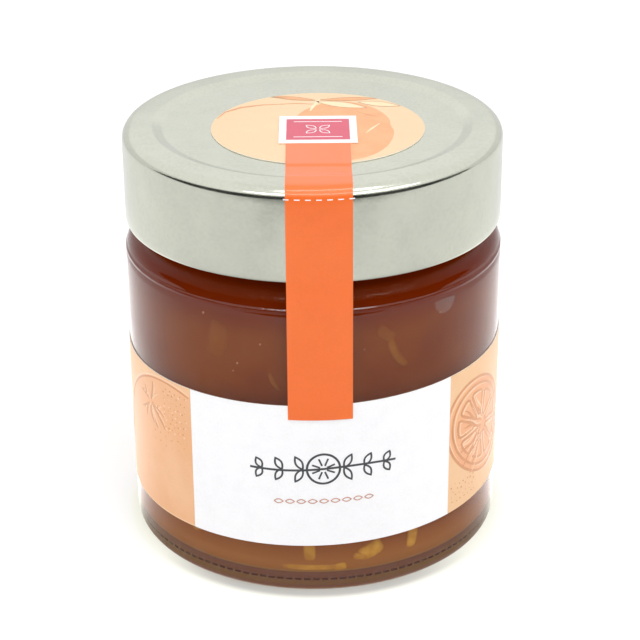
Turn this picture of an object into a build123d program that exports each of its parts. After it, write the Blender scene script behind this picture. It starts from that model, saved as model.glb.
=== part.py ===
from build123d import *
import math
import os

# A straight-sided glass jar of orange marmalade, shut by a deep twist lid and sealed with paper.
# The jar stands on the plane z = 0 with its axis on Z. The front, where the seal strip runs down,
# faces -Y. All sizes are in millimetres and all angles in degrees.

# ---- glass jar ----
BODY_DIAMETER = 73.6  # outside, across the straight wall
JAR_HEIGHT = 82.9  # from the standing plane to the top of the mouth rim
WALL = 2.4
BASE_THICKNESS = 4.0  # at the outer edge of the floor
FLOOR_CROWN = 0.8  # how far the floor rises inside, at the axis
PUNT_DEPTH = 1.4  # hollow under the base, at the axis
BEARING_WIDTH = 2.6  # flat ring that the jar stands on
HEEL_RADIUS = 2.4  # outside corner between the wall and the bearing ring
FLOOR_RADIUS = 5.0  # inside corner between the wall and the floor
SHOULDER_RADIUS = 5.3
INNER_SHOULDER_RADIUS = 5.0
INNER_SHOULDER_DROP = 2.0  # the inner shoulder starts this much lower, so the glass is thick there
NECK_INSET = 3.3  # step in from the straight wall to the neck
NECK_HEIGHT = 17.8  # from the top of the shoulder to the mouth rim
NECK_WALL = 2.3
RIM_ROUND = 0.6

# ---- marmalade ----
HEADSPACE = 6.0  # from the surface of the marmalade to the mouth rim
FILL_CLEARANCE = 0.05

# ---- twist lid ----
SHEET = 0.3
THREAD_ROOM = 2.7  # between the neck and the inside of the skirt
LID_EDGE_RADIUS = 2.0
PANEL_DEPTH = 0.6  # how far the middle of the lid lies below its raised ring
PANEL_STEP_WIDTH = 1.9
PANEL_CLEARANCE = 0.5  # between the sunken panel's step and the bore of the neck
PANEL_BEND = 0.8
RING_BEND = 0.6
HEM_GAP = 0.5  # between the shoulder and the rolled hem
HEM_DEPTH = 1.5
HEM_RISE = 1.4
HEM_BEND = 0.6

# ---- paper ----
PAPER = 0.15
GLUE = 0.05  # clearance under every paper piece
LABEL_BASE = 11.0  # height of the label's lower edge at the front
LABEL_HEIGHT = 29.85
LABEL_GAP = 9.0  # bare glass between the label's two ends, at the back
LABEL_TURN = 2.4  # the label is stuck on turned a little towards +X
LABEL_SKEW = 1.3  # and its +X side a little high
STICKER_MARGIN = 5.8  # least width of bare metal between the round sticker and the panel's step
STICKER_OFFSET = (1.05, -2.4)
STRIP_WIDTH = 12.0
STRIP_X = 1.05
STRIP_OVERLAP = 2.9  # length of the strip that lies on the label
STRIP_LIFT = 0.2  # the stiff strip stands off the raised ring where it comes up the step
STRIP_RAMP = 3.4  # length over which it climbs from the panel to the raised ring
HEAD_BORDER = 1.4  # how far the strip's square head is wider than the strip, on each side
HEAD_LENGTH = 15.4
HEAD_Y = -4.3
STRIP_BEND = 3.0  # the paper's gentle bends
STRIP_START = 8.0  # the strip proper starts under its head, this far from the axis

# ---- places that follow from the sizes ----
BODY_R = BODY_DIAMETER / 2
INNER_R = BODY_R - WALL
NECK_R = BODY_R - NECK_INSET
BORE_R = NECK_R - NECK_WALL
BEARING_R = BODY_R - HEEL_RADIUS
NECK_FOOT_Z = JAR_HEIGHT - NECK_HEIGHT
FILL_Z = JAR_HEIGHT - HEADSPACE

LID_R = NECK_R + THREAD_ROOM + SHEET
LID_TOP_Z = JAR_HEIGHT + SHEET
PANEL_Z = LID_TOP_Z - PANEL_DEPTH
RING_R = BORE_R - PANEL_CLEARANCE
PANEL_R = RING_R - PANEL_STEP_WIDTH
HEM_Z = NECK_FOOT_Z + HEM_GAP

STICKER_R = PANEL_R - math.hypot(*STICKER_OFFSET) - STICKER_MARGIN
STICKER_Z = PANEL_Z + GLUE
HEAD_Z = STICKER_Z + PAPER + GLUE
LABEL_R = BODY_R + GLUE
LABEL_TOP_Z = LABEL_BASE + LABEL_HEIGHT
STRIP_END_Z = LABEL_TOP_Z - STRIP_OVERLAP


def arc_rise(radius, inset):
    """Height of a quarter arc, tangent to a vertical wall, where it has come in by inset."""
    return math.sqrt(radius**2 - (radius - inset) ** 2)


def shoulder_arc(wall_r, neck_r, radius, start_z):
    """Arc that turns a vertical wall inwards at start_z and ends at the radius of the neck."""
    centre = (wall_r - radius, start_z)
    end_angle = math.degrees(math.acos((neck_r - centre[0]) / radius))
    return CenterArc(centre, radius, 0, end_angle)


def dome(edge_r, edge_z, axis_z):
    """Shallow arc from the edge of a round face up to the axis, level where it meets the axis."""
    rise = axis_z - edge_z
    radius = (edge_r**2 + rise**2) / (2 * rise)
    half_angle = math.asin(edge_r / radius) / 2
    middle = (radius * math.sin(half_angle), axis_z - radius * (1 - math.cos(half_angle)))
    return ThreePointArc((edge_r, edge_z), middle, (0, axis_z))


def turned(outline):
    """Solid made by turning a closed outline, drawn as (radius, height), about Z."""
    return revolve(Plane.XZ * make_face(outline), Axis.Z)


def bent_sheet(points, bends, thickness, side):
    """Closed outline of a sheet that follows points, with a bend radius at each inner point."""
    path = FilletPolyline(*points, radius=bends)
    return Wire(path.edges()).offset_2d(thickness, side=side).edges()


SHOULDER_Z = NECK_FOOT_Z - arc_rise(SHOULDER_RADIUS, NECK_INSET)
INNER_SHOULDER_Z = SHOULDER_Z - INNER_SHOULDER_DROP


def cavity(gap, top_z):
    """Space inside the glass up to top_z, smaller than the glass by gap all round."""
    wall_r = INNER_R - gap
    bore_r = BORE_R - gap
    corner_r = FLOOR_RADIUS - gap
    floor_z = BASE_THICKNESS + gap
    floor_r = wall_r - corner_r
    floor = dome(floor_r, floor_z, floor_z + FLOOR_CROWN)
    corner = CenterArc((floor_r, floor_z + corner_r), corner_r, -90, 90)
    shoulder = shoulder_arc(wall_r, bore_r, INNER_SHOULDER_RADIUS - gap, INNER_SHOULDER_Z)
    wall = Line(corner @ 1, shoulder @ 0)
    bore = Polyline(shoulder @ 1, (bore_r, top_z), (0, top_z), floor @ 1)
    return turned([*floor.edges(), *corner.edges(), wall, *shoulder.edges(), *bore.edges()])


def glass_jar():
    """Body, shoulder and neck of clear glass, with a hollow base."""
    punt = dome(BEARING_R - BEARING_WIDTH, 0, PUNT_DEPTH)
    bearing = Line(punt @ 0, (BEARING_R, 0))
    heel = CenterArc((BEARING_R, HEEL_RADIUS), HEEL_RADIUS, -90, 90)
    shoulder = shoulder_arc(BODY_R, NECK_R, SHOULDER_RADIUS, SHOULDER_Z)
    wall = Line(heel @ 1, shoulder @ 0)
    neck = Polyline(shoulder @ 1, (NECK_R, JAR_HEIGHT), (0, JAR_HEIGHT), punt @ 1)
    outline = [punt, bearing, heel, wall, shoulder]
    outer = turned([edge for line in outline for edge in line.edges()] + [*neck.edges()])
    jar = outer - cavity(0, JAR_HEIGHT)
    rim = jar.edges().filter_by_position(Axis.Z, JAR_HEIGHT, JAR_HEIGHT)
    return fillet(rim, RIM_ROUND)


def marmalade():
    """The filling, up to its level in the neck."""
    return cavity(FILL_CLEARANCE, FILL_Z)


def lid():
    """Tinplate lid: sunken panel, raised ring on the mouth rim, straight skirt and rolled hem."""
    hem_r = LID_R - HEM_DEPTH
    points = [
        (0, PANEL_Z),
        (PANEL_R, PANEL_Z),
        (RING_R, LID_TOP_Z),
        (LID_R, LID_TOP_Z),
        (LID_R, HEM_Z),
        (hem_r, HEM_Z),
        (hem_r, HEM_Z + HEM_RISE),
    ]
    bends = [PANEL_BEND, RING_BEND, LID_EDGE_RADIUS, HEM_BEND, HEM_BEND]
    return turned(bent_sheet(points, bends, SHEET, Side.RIGHT))


def label():
    """Paper band round the body, a little askew, with its two ends apart at the back."""
    middle_z = LABEL_BASE + LABEL_HEIGHT / 2
    reach = 4 * BODY_R
    ring = Pos(0, 0, middle_z) * (Cylinder(LABEL_R + PAPER, reach) - Cylinder(LABEL_R, reach))
    slab = Pos(0, 0, middle_z) * Rot(0, -LABEL_SKEW, 0) * Box(reach, reach, LABEL_HEIGHT)
    gap = Pos(0, BODY_R, middle_z) * Box(LABEL_GAP, BODY_R, reach)
    return Rot(0, 0, LABEL_TURN) * (ring & slab - gap)


def lid_sticker():
    """Round paper sticker on the lid's panel."""
    return Pos(*STICKER_OFFSET, STICKER_Z + PAPER / 2) * Cylinder(STICKER_R, PAPER)


def seal_strip():
    """Paper strip with a square head: over the lid's edge, down past the shoulder to the label."""
    sticker_edge = STICKER_R - STICKER_OFFSET[1] + 2 * GLUE
    on_panel = PANEL_Z + GLUE
    on_ring = LID_TOP_Z + GLUE
    on_skirt = LID_R + GLUE
    on_label = LABEL_R + PAPER + GLUE
    points = [
        (STRIP_START, HEAD_Z),
        (sticker_edge, HEAD_Z),
        (sticker_edge + 1, on_panel),
        (RING_R - STRIP_RAMP, on_panel),
        (RING_R, on_ring + STRIP_LIFT),
        (on_skirt, on_ring),
        (on_skirt, HEM_Z + HEM_BEND),
        (BODY_R + GLUE, SHOULDER_Z - GLUE),
        (BODY_R + GLUE, LABEL_TOP_Z + 2),
        (on_label, LABEL_TOP_Z + 1),
        (on_label, STRIP_END_Z),
    ]
    soft = STRIP_BEND
    edge_bend = LID_EDGE_RADIUS + GLUE
    bends = [soft, soft, soft, soft, edge_bend, soft, soft, soft, soft]
    turned_strip = turned(bent_sheet(points, bends, PAPER, Side.LEFT))
    lane = Pos(STRIP_X, -BODY_R, LID_TOP_Z / 2) * Box(STRIP_WIDTH, 2 * BODY_R, 2 * LID_TOP_Z)
    head_width = STRIP_WIDTH + 2 * HEAD_BORDER
    head = Pos(STRIP_X, HEAD_Y, HEAD_Z + PAPER / 2) * Box(head_width, HEAD_LENGTH, PAPER)
    return (turned_strip & lane) + head


PIECES = {
    "glass_jar": glass_jar,
    "marmalade": marmalade,
    "lid": lid,
    "label": label,
    "lid_sticker": lid_sticker,
    "seal_strip": seal_strip,
}

os.makedirs("parts", exist_ok=True)
for name, make in PIECES.items():
    piece = make()
    piece.label = name
    export_step(piece, f"parts/{name}.step")
    print(name, "volume", round(piece.volume, 1), "solids", len(piece.solids()))
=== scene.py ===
import logging
import math
from collections.abc import Callable, Sequence
from dataclasses import dataclass, field
from enum import Enum

import bmesh
import bpy
from mathutils import Matrix, Vector, noise


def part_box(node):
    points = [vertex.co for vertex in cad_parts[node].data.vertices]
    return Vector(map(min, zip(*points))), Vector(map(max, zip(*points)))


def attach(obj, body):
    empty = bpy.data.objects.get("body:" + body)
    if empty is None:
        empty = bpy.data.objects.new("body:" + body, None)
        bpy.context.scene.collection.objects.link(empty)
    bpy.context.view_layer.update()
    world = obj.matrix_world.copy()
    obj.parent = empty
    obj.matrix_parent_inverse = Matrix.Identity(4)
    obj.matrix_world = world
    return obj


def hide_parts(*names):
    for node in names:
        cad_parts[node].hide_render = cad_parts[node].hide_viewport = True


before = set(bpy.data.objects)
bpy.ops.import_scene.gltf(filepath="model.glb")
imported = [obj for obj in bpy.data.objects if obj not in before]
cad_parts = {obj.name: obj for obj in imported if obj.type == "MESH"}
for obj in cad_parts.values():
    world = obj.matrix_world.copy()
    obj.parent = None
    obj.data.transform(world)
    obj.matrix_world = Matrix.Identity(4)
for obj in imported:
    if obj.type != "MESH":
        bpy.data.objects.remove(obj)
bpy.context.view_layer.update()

LOG = logging.getLogger("marmalade_jar")
MM = 0.001
BODY = "root"
SAME_PLACE = 1e-7  # corners of a sheet that are nearer than this are one

Point = tuple[float, float]
Colour = tuple[float, float, float]

BLACK: Colour = (0.0, 0.0, 0.0)
WHITE: Colour = (1.0, 1.0, 1.0)


# ---- drawing sections and meshes


def between(low: float, high: float, cuts: int) -> list[float]:
    """Evenly spaced values from low to high, both included."""
    return [low + (high - low) * i / cuts for i in range(cuts + 1)]


def circle(count: int) -> list[float]:
    """Evenly spaced angles round a full turn, in radians, without the last one."""
    return [math.tau * i / count for i in range(count)]


def oval(middle: Point, across: float, tall: float, turns: Sequence[float]) -> list[Point]:
    """Points of an oval.

    Args:
        middle: its middle.
        across: half its width.
        tall: half its height.
        turns: the angles of its points, in radians.

    Returns:
        The points.
    """
    return [(middle[0] + across * math.cos(t), middle[1] + tall * math.sin(t)) for t in turns]


def towards(turn: float) -> Vector:
    """Flat unit vector at an angle, in radians."""
    return Vector((math.cos(turn), math.sin(turn)))


def leftward(way: Vector) -> Vector:
    """A flat vector turned a quarter to the left."""
    return Vector((-way.y, way.x))


class Outline:
    """Points of a section, drawn as (distance from the axis, height)."""

    def __init__(self, distance: float, height: float) -> None:
        """Starts the section.

        Args:
            distance: distance of the first point from the axis.
            height: height of the first point.
        """
        self.points: list[Point] = [(distance, height)]

    def _add(self, point: Point) -> None:
        """Adds a point, unless the section is already there."""
        if math.dist(point, self.points[-1]) > 1e-8:
            self.points.append(point)

    def line(self, distance: float, height: float, steps: int = 1) -> "Outline":
        """Runs straight to a point.

        Args:
            distance: distance of the end from the axis.
            height: height of the end.
            steps: pieces that the run is cut into.

        Returns:
            The section itself.
        """
        r, z = self.points[-1]
        for i in range(1, steps + 1):
            self._add((r + (distance - r) * i / steps, z + (height - z) * i / steps))
        return self

    def arc(self, centre: Point, radius: float, start: float, end: float, steps: int) -> "Outline":
        """Runs along an arc.

        Args:
            centre: centre of the arc.
            radius: its radius.
            start: angle of its first point, in degrees.
            end: angle of its last point.
            steps: pieces that the arc is cut into.

        Returns:
            The section itself.
        """
        for i in range(steps + 1):
            turn = math.radians(start + (end - start) * i / steps)
            self._add((centre[0] + radius * math.cos(turn), centre[1] + radius * math.sin(turn)))
        return self


def rounded(points: Sequence[Point], bends: Sequence[float], steps: int = 8) -> list[Point]:
    """Rounds the inner corners of a run of straight lines.

    Args:
        points: the run's corners.
        bends: a bend radius for each inner corner.
        steps: pieces in each bend.

    Returns:
        The points of the rounded run.
    """
    run = [points[0]]
    for before, corner, after, bend in zip(points, points[1:], points[2:], bends):
        here = Vector(corner)
        back, on = (Vector(before) - here).normalized(), (Vector(after) - here).normalized()
        half = back.angle(on) / 2
        centre = here + (back + on).normalized() * (bend / math.sin(half))
        first = here + back * (bend / math.tan(half)) - centre
        last = here + on * (bend / math.tan(half)) - centre
        sweep = first.angle_signed(last)
        for i in range(steps + 1):
            turned = first.copy()
            turned.rotate(Matrix.Rotation(-sweep * i / steps, 2))
            run.append(tuple(centre + turned))
    run.append(points[-1])
    return run


def beside(points: Sequence[Point], gap: float) -> list[Point]:
    """A run of points moved sideways, to the left of its direction.

    Args:
        points: the run.
        gap: how far it moves.

    Returns:
        The moved run.
    """
    moved = []
    for i, here in enumerate(points):
        sides = []
        for a, b in ((i - 1, i), (i, i + 1)):
            if 0 <= a and b < len(points):
                way = (Vector(points[b]) - Vector(points[a])).normalized()
                sides.append(leftward(way))
        side = sum(sides, Vector((0, 0))).normalized()
        moved.append(tuple(Vector(here) + side * (gap / max(side.dot(sides[0]), 0.3))))
    return moved


def linked(name: str, data: bpy.types.ID) -> bpy.types.Object:
    """Makes an object of a mesh, a lamp or a camera, puts it in the scene and returns it."""
    made = bpy.data.objects.new(name, data)
    bpy.context.scene.collection.objects.link(made)
    return made


def piece_from(bm: bmesh.types.BMesh, name: str) -> bpy.types.Object:
    """Makes a scene object from a finished bmesh and frees it.

    Args:
        bm: the mesh.
        name: the object's name.

    Returns:
        The object, at the origin.
    """
    mesh = bpy.data.meshes.new(name)
    bm.to_mesh(mesh)
    bm.free()
    return linked(name, mesh)


def soften(piece: bpy.types.Object, crease: float = 35.0) -> bpy.types.Object:
    """Shades a mesh smooth, with hard edges where it folds sharply.

    Args:
        piece: the object to shade.
        crease: angle between faces, in degrees, from which an edge stays hard.

    Returns:
        The same object.
    """
    bm = bmesh.new()
    bm.from_mesh(piece.data)
    for face in bm.faces:
        face.smooth = True
    for edge in bm.edges:
        edge.smooth = len(edge.link_faces) < 2 or edge.calc_face_angle(0.0) < math.radians(crease)
    bm.to_mesh(piece.data)
    bm.free()
    return piece


def turned_piece(name: str, section: Sequence[Point], segments: int) -> bpy.types.Object:
    """Turns a section that starts and ends on the axis into a closed solid.

    Args:
        name: the object's name.
        section: (distance, height) points.
        segments: faces round the axis.

    Returns:
        The solid, smooth shaded, with its faces outwards.
    """
    bm = bmesh.new()
    rings = []
    for distance, height in section:
        if distance < 1e-8:
            rings.append([bm.verts.new((0.0, 0.0, height))])
            continue
        ring = oval((0.0, 0.0), distance, distance, circle(segments))
        rings.append([bm.verts.new((*point, height)) for point in ring])
    for low, high in zip(rings, rings[1:]):
        for i in range(segments):
            j = (i + 1) % segments
            corners = [low[i % len(low)], low[j % len(low)], high[j % len(high)], high[i % len(high)]]
            bm.faces.new(list(dict.fromkeys(corners)))
    bmesh.ops.recalc_face_normals(bm, faces=bm.faces)
    return soften(piece_from(bm, name))


class Sheet:
    """A thin sheet drawn flat, cell by cell, then given its thickness."""

    def __init__(self) -> None:
        """Starts an empty sheet."""
        self.cells: list[tuple[list[Point], int]] = []

    def cell(self, corners: Sequence[Point], finish: int = 0) -> None:
        """Adds one cell.

        Args:
            corners: its corners, anticlockwise.
            finish: index of its finish.
        """
        self.cells.append((list(corners), finish))

    def grid(self, columns: Sequence[float], rows: Sequence[float], finish: int = 0) -> None:
        """Adds a rectangle of cells.

        Args:
            columns: rising x positions of the cell borders.
            rows: rising y positions.
            finish: index of the finish.
        """
        for left, right in zip(columns, columns[1:]):
            for low, high in zip(rows, rows[1:]):
                self.cell([(left, low), (right, low), (right, high), (left, high)], finish)

    def patch(self, outline: Sequence[Point], finish: int = 0, rings: int = 3) -> None:
        """Fills an outline that can be seen whole from its middle.

        Args:
            outline: its points, anticlockwise.
            finish: index of the finish.
            rings: rings of cells from the middle out.
        """
        middle = Vector((sum(p[0] for p in outline), sum(p[1] for p in outline))) / len(outline)
        loops = [[tuple(middle.lerp(Vector(p), k / rings)) for p in outline] for k in range(1, rings + 1)]
        count = len(outline)
        for i in range(count):
            j = (i + 1) % count
            self.cell([tuple(middle), loops[0][i], loops[0][j]], finish)
            for inner, outer in zip(loops, loops[1:]):
                self.cell([inner[i], outer[i], outer[j], inner[j]], finish)

    def stroke(self, points: Sequence[Point], width: float, finish: int = 0, taper: bool = False) -> None:
        """Draws a line of some width.

        Args:
            points: the line.
            width: its width.
            finish: index of the finish.
            taper: True if it thins out towards both ends.
        """
        last = len(points) - 1
        left, right = [], []
        for i, (a, b) in enumerate(zip(beside(points, 1.0), points)):
            side = (Vector(a) - Vector(b)) * (width / 2)
            if taper:
                side *= 0.25 + 0.75 * math.sin(math.pi * i / last)
            left.append(tuple(Vector(b) + side))
            right.append(tuple(Vector(b) - side))
        for i in range(last):
            self.cell([right[i], right[i + 1], left[i + 1], left[i]], finish)

    def build(self, name: str, thickness: float, edge: int | None = None) -> bpy.types.Object:
        """Gives the sheet its thickness: its face at height 0 and its back below it.

        Args:
            name: the object's name.
            thickness: the sheet's thickness.
            edge: index of the finish of its back and edges, or None for each cell's own.

        Returns:
            The flat sheet, closed all round.
        """
        bm = bmesh.new()
        tops: dict[tuple[int, int], bmesh.types.BMVert] = {}
        below: dict[bmesh.types.BMVert, bmesh.types.BMVert] = {}

        def corner(point: Point) -> bmesh.types.BMVert:
            """The vertex at a point of the face, with its partner on the back."""
            key = (round(point[0] / SAME_PLACE), round(point[1] / SAME_PLACE))
            if key not in tops:
                tops[key] = bm.verts.new((point[0], point[1], 0.0))
                below[tops[key]] = bm.verts.new((point[0], point[1], -thickness))
            return tops[key]

        for corners, finish in self.cells:
            face = list(dict.fromkeys(corner(p) for p in corners))
            if len(face) < 3 or bm.faces.get(face) is not None:
                continue
            bm.faces.new(face).material_index = finish
            bm.faces.new([below[v] for v in reversed(face)]).material_index = finish if edge is None else edge
        for rim in [e for e in bm.edges if len(e.link_faces) == 1 and e.verts[0] in below]:
            loop = rim.link_loops[0]
            a, b = loop.vert, loop.link_loop_next.vert
            side = bm.faces.new([b, a, below[a], below[b]])
            side.material_index = loop.face.material_index if edge is None else edge
        return piece_from(bm, name)


def laid(piece: bpy.types.Object, surface: Callable[[float, float, float], Vector]) -> bpy.types.Object:
    """Lays a flat mesh on a surface.

    Args:
        piece: the object, drawn flat.
        surface: gives the place of a flat point (x, y, height above the surface).

    Returns:
        The same object, bent and shaded smooth.
    """
    for vertex in piece.data.vertices:
        vertex.co = surface(*vertex.co)
    piece.data.update()
    return soften(piece)


def joined(pieces: Sequence[bpy.types.Object], name: str) -> bpy.types.Object:
    """Joins pieces into the first one, with each face's finish kept.

    Args:
        pieces: the objects.
        name: the name of the result.

    Returns:
        The joined object.
    """
    first = pieces[0]
    with bpy.context.temp_override(active_object=first, selected_editable_objects=list(pieces)):
        bpy.ops.object.join()
    first.name = first.data.name = name
    return first


def dressed(piece: bpy.types.Object, *finishes: bpy.types.Material) -> bpy.types.Object:
    """Gives a bare object its materials, in the order of its faces' indices."""
    for finish in finishes:
        piece.data.materials.append(finish)
    return piece


def placed(piece: bpy.types.Object, slot: str, *nodes: str) -> bpy.types.Object:
    """Puts a finished piece into the frame and reports it.

    Args:
        piece: the finished object.
        slot: the record's material slot.
        *nodes: CAD nodes that it stands for.

    Returns:
        The same object.
    """
    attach(piece, BODY)
    if nodes:
        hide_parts(*nodes)
    piece.data.calc_loop_triangles()
    LOG.info("%s: %d triangles, slot %s", piece.name, len(piece.data.loop_triangles), slot)
    return piece


# ---- wiring nodes


class Wiring:
    """Adds nodes to one tree and joins their sockets."""

    def __init__(self, tree: bpy.types.NodeTree) -> None:
        """Starts wiring.

        Args:
            tree: the shader or geometry tree.
        """
        self.tree = tree

    def add(
        self, kind: str, values: dict[str | int, object] | None = None, **settings: object
    ) -> bpy.types.Node:
        """Adds a node.

        Args:
            kind: the node's type.
            values: for each input, a plain value, a node or a socket.
            **settings: the node's own settings.

        Returns:
            The node.
        """
        node = self.tree.nodes.new(kind)
        for key, value in settings.items():
            setattr(node, key, value)
        self.feed(node, values or {})
        return node

    def feed(self, node: bpy.types.Node, values: dict[str | int, object]) -> None:
        """Gives several inputs of a node their plain values, nodes or sockets."""
        for key, value in values.items():
            self.join(value, node.inputs[key])

    def join(self, value: object, socket: bpy.types.NodeSocket) -> None:
        """Gives an input a plain value, a node's first output or a socket."""
        if isinstance(value, bpy.types.Node):
            value = value.outputs[0]
        if isinstance(value, bpy.types.NodeSocket):
            self.tree.links.new(value, socket)
        elif socket.type == "RGBA" and len(value) == 3:
            socket.default_value = (*value, 1.0)
        else:
            socket.default_value = value

    def maths(self, operation: str, a: object, b: object = 0.0, clamp: bool = False) -> bpy.types.NodeSocket:
        """One step of arithmetic, in either kind of tree."""
        return self.add("ShaderNodeMath", {0: a, 1: b}, operation=operation, use_clamp=clamp).outputs[0]

    def product(self, a: object, b: object, clamp: bool = False) -> bpy.types.NodeSocket:
        """One value times another."""
        return self.maths("MULTIPLY", a, b, clamp)

    def length(self, a: object, b: object) -> bpy.types.NodeSocket:
        """Length of a flat vector, from its two parts."""
        return self.maths("SQRT", self.maths("ADD", self.product(a, a), self.product(b, b)))

    def vector(self, x: object = 0.0, y: object = 0.0, z: object = 0.0) -> bpy.types.Node:
        """A vector from its three parts."""
        return self.add("ShaderNodeCombineXYZ", {0: x, 1: y, 2: z})

    def fade(
        self, value: object, start: float, end: float, low: float = 0.0, high: float = 1.0
    ) -> bpy.types.NodeSocket:
        """A smooth step from low to high as the value goes from start to end."""
        values = {"Value": value, "From Min": start, "From Max": end, "To Min": low, "To Max": high}
        return self.add("ShaderNodeMapRange", values, interpolation_type="SMOOTHSTEP").outputs[0]

    def blend(self, factor: object, a: object, b: object) -> bpy.types.NodeSocket:
        """A mix of two colours."""
        return self.add("ShaderNodeMix", {0: factor, 6: a, 7: b}, data_type="RGBA").outputs[2]

    def noise(self, size: object, detail: float = 3.0, at: object | None = None) -> bpy.types.NodeSocket:
        """Cloudy noise over the piece.

        Args:
            size: waves to the metre.
            detail: octaves.
            at: the place to read it at, or None for Object coordinates.

        Returns:
            Its value, around a half.
        """
        place = at if at is not None else self.place()
        return self.add("ShaderNodeTexNoise", {"Vector": place, "Scale": size, "Detail": detail}).outputs[0]

    def bump(
        self, height: object, depth: float, strength: float = 0.5, under: object | None = None
    ) -> bpy.types.Node:
        """Turns a height into a normal.

        Args:
            height: the height, from 0 to 1.
            depth: how far down that goes, in metres.
            strength: how strongly it shows.
            under: a coarser bump that this one lies on.

        Returns:
            The bump node.
        """
        values = {"Height": height, "Distance": depth, "Strength": strength}
        return self.add("ShaderNodeBump", values if under is None else values | {"Normal": under})

    def chance(self, least: object, most: object, seed: object) -> bpy.types.NodeSocket:
        """A random number for each point, from least to most."""
        node = self.add("FunctionNodeRandomValue", data_type="FLOAT")
        for key, value in (("Min", least), ("Max", most), ("Seed", seed)):
            self.join(value, next(s for s in node.inputs if s.name == key and s.enabled))
        return next(s for s in node.outputs if s.enabled)

    def copies(self, points: object, shape: object, **more: object) -> bpy.types.Node:
        """Sets a copy of a shape on each point, with its Rotation and Scale where they are given."""
        return self.add("GeometryNodeInstanceOnPoints", {"Points": points, "Instance": shape} | more)

    def place(self) -> bpy.types.NodeSocket:
        """Object coordinates."""
        return self.add("ShaderNodeTexCoord").outputs["Object"]


class Effect:
    """Shader groups that more than one finish uses, each built once."""

    _built: dict[str, bpy.types.NodeTree] = {}

    @classmethod
    def _group(
        cls,
        name: str,
        inputs: dict[str, float | Colour],
        mask: str,
        draw: Callable[[Wiring, bpy.types.NodeOutputs], dict[str, object]],
    ) -> bpy.types.NodeTree:
        """Builds a group the first time it is asked for.

        Args:
            name: the group's name.
            inputs: for each input, its plain value, a number or a colour.
            mask: the name of its second output, a number. The first is its colour.
            draw: adds the nodes and returns what feeds each output.

        Returns:
            The group.
        """
        if name in cls._built:
            return cls._built[name]
        tree = bpy.data.node_groups.new(name, "ShaderNodeTree")
        for label, value in inputs.items():
            colour = isinstance(value, tuple)
            kind = "NodeSocketColor" if colour else "NodeSocketFloat"
            socket = tree.interface.new_socket(label, in_out="INPUT", socket_type=kind)
            socket.default_value = (*value, 1.0) if colour else value
        tree.interface.new_socket("Colour", in_out="OUTPUT", socket_type="NodeSocketColor")
        tree.interface.new_socket(mask, in_out="OUTPUT", socket_type="NodeSocketFloat")
        wiring = Wiring(tree)
        start = wiring.add("NodeGroupInput")
        fed = draw(wiring, start.outputs)
        wiring.add("NodeGroupOutput", fed)
        cls._built[name] = tree
        return tree

    @classmethod
    def drift(cls) -> bpy.types.NodeTree:
        """Cloudy drift between two colours."""

        def draw(w: Wiring, given: bpy.types.NodeOutputs) -> dict[str, object]:
            """Wires the drift."""
            cloud = w.fade(w.noise(given["Size"], 4.0), 0.34, 0.66)
            share = w.product(cloud, given["Amount"], clamp=True)
            return {"Colour": w.blend(share, given["Colour"], given["Second"]), "Mask": cloud}

        inputs = {"Colour": WHITE, "Second": WHITE, "Size": 50.0, "Amount": 1.0}
        return cls._group("Tone Drift", inputs, "Mask", draw)

    @classmethod
    def grain(cls) -> bpy.types.NodeTree:
        """Fine grain: a height for bump and a tone that darkens the pits."""

        def draw(w: Wiring, given: bpy.types.NodeOutputs) -> dict[str, object]:
            """Wires the grain."""
            fine = w.noise(given["Size"], 2.0)
            broad = w.noise(w.product(given["Size"], 0.13), 2.0)
            height = w.maths("ADD", w.product(fine, 0.6), w.product(broad, 0.4))
            shade = w.product(w.fade(height, 0.58, 0.36), given["Depth"])
            return {"Colour": w.blend(shade, given["Colour"], BLACK), "Height": height}

        return cls._group("Fine Grain", {"Colour": WHITE, "Size": 2000.0, "Depth": 0.05}, "Height", draw)


def drifting(
    w: Wiring, colour: Colour, second: Colour, size: float, amount: float = 1.0
) -> bpy.types.NodeOutputs:
    """Adds a cloudy drift between two colours.

    Args:
        w: the material's wiring.
        colour: the first colour.
        second: the second colour.
        size: clouds to the metre.
        amount: share of the second colour in the clouds.

    Returns:
        Its outputs, Colour and Mask.
    """
    values = {"Colour": colour, "Second": second, "Size": size, "Amount": amount}
    return w.add("ShaderNodeGroup", values, node_tree=Effect.drift()).outputs


def grained(w: Wiring, colour: object, size: float, depth: float) -> bpy.types.NodeOutputs:
    """Adds fine grain to a colour.

    Args:
        w: the material's wiring.
        colour: the colour under it.
        size: grains to the metre.
        depth: how much the pits darken it.

    Returns:
        Its outputs, Colour and Height.
    """
    values = {"Colour": colour, "Size": size, "Depth": depth}
    return w.add("ShaderNodeGroup", values, node_tree=Effect.grain()).outputs


def new_finish(name: str) -> tuple[bpy.types.Material, Wiring, bpy.types.Node, bpy.types.Node]:
    """Starts a material.

    Args:
        name: the material's name.

    Returns:
        The material, its wiring, its Principled shader and its output.
    """
    material = bpy.data.materials.new(name)
    material.use_nodes = True
    material.node_tree.nodes.clear()
    wiring = Wiring(material.node_tree)
    shader = wiring.add("ShaderNodeBsdfPrincipled")
    output = wiring.add("ShaderNodeOutputMaterial", {"Surface": shader})
    return material, wiring, shader, output


# ---- finishes


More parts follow.
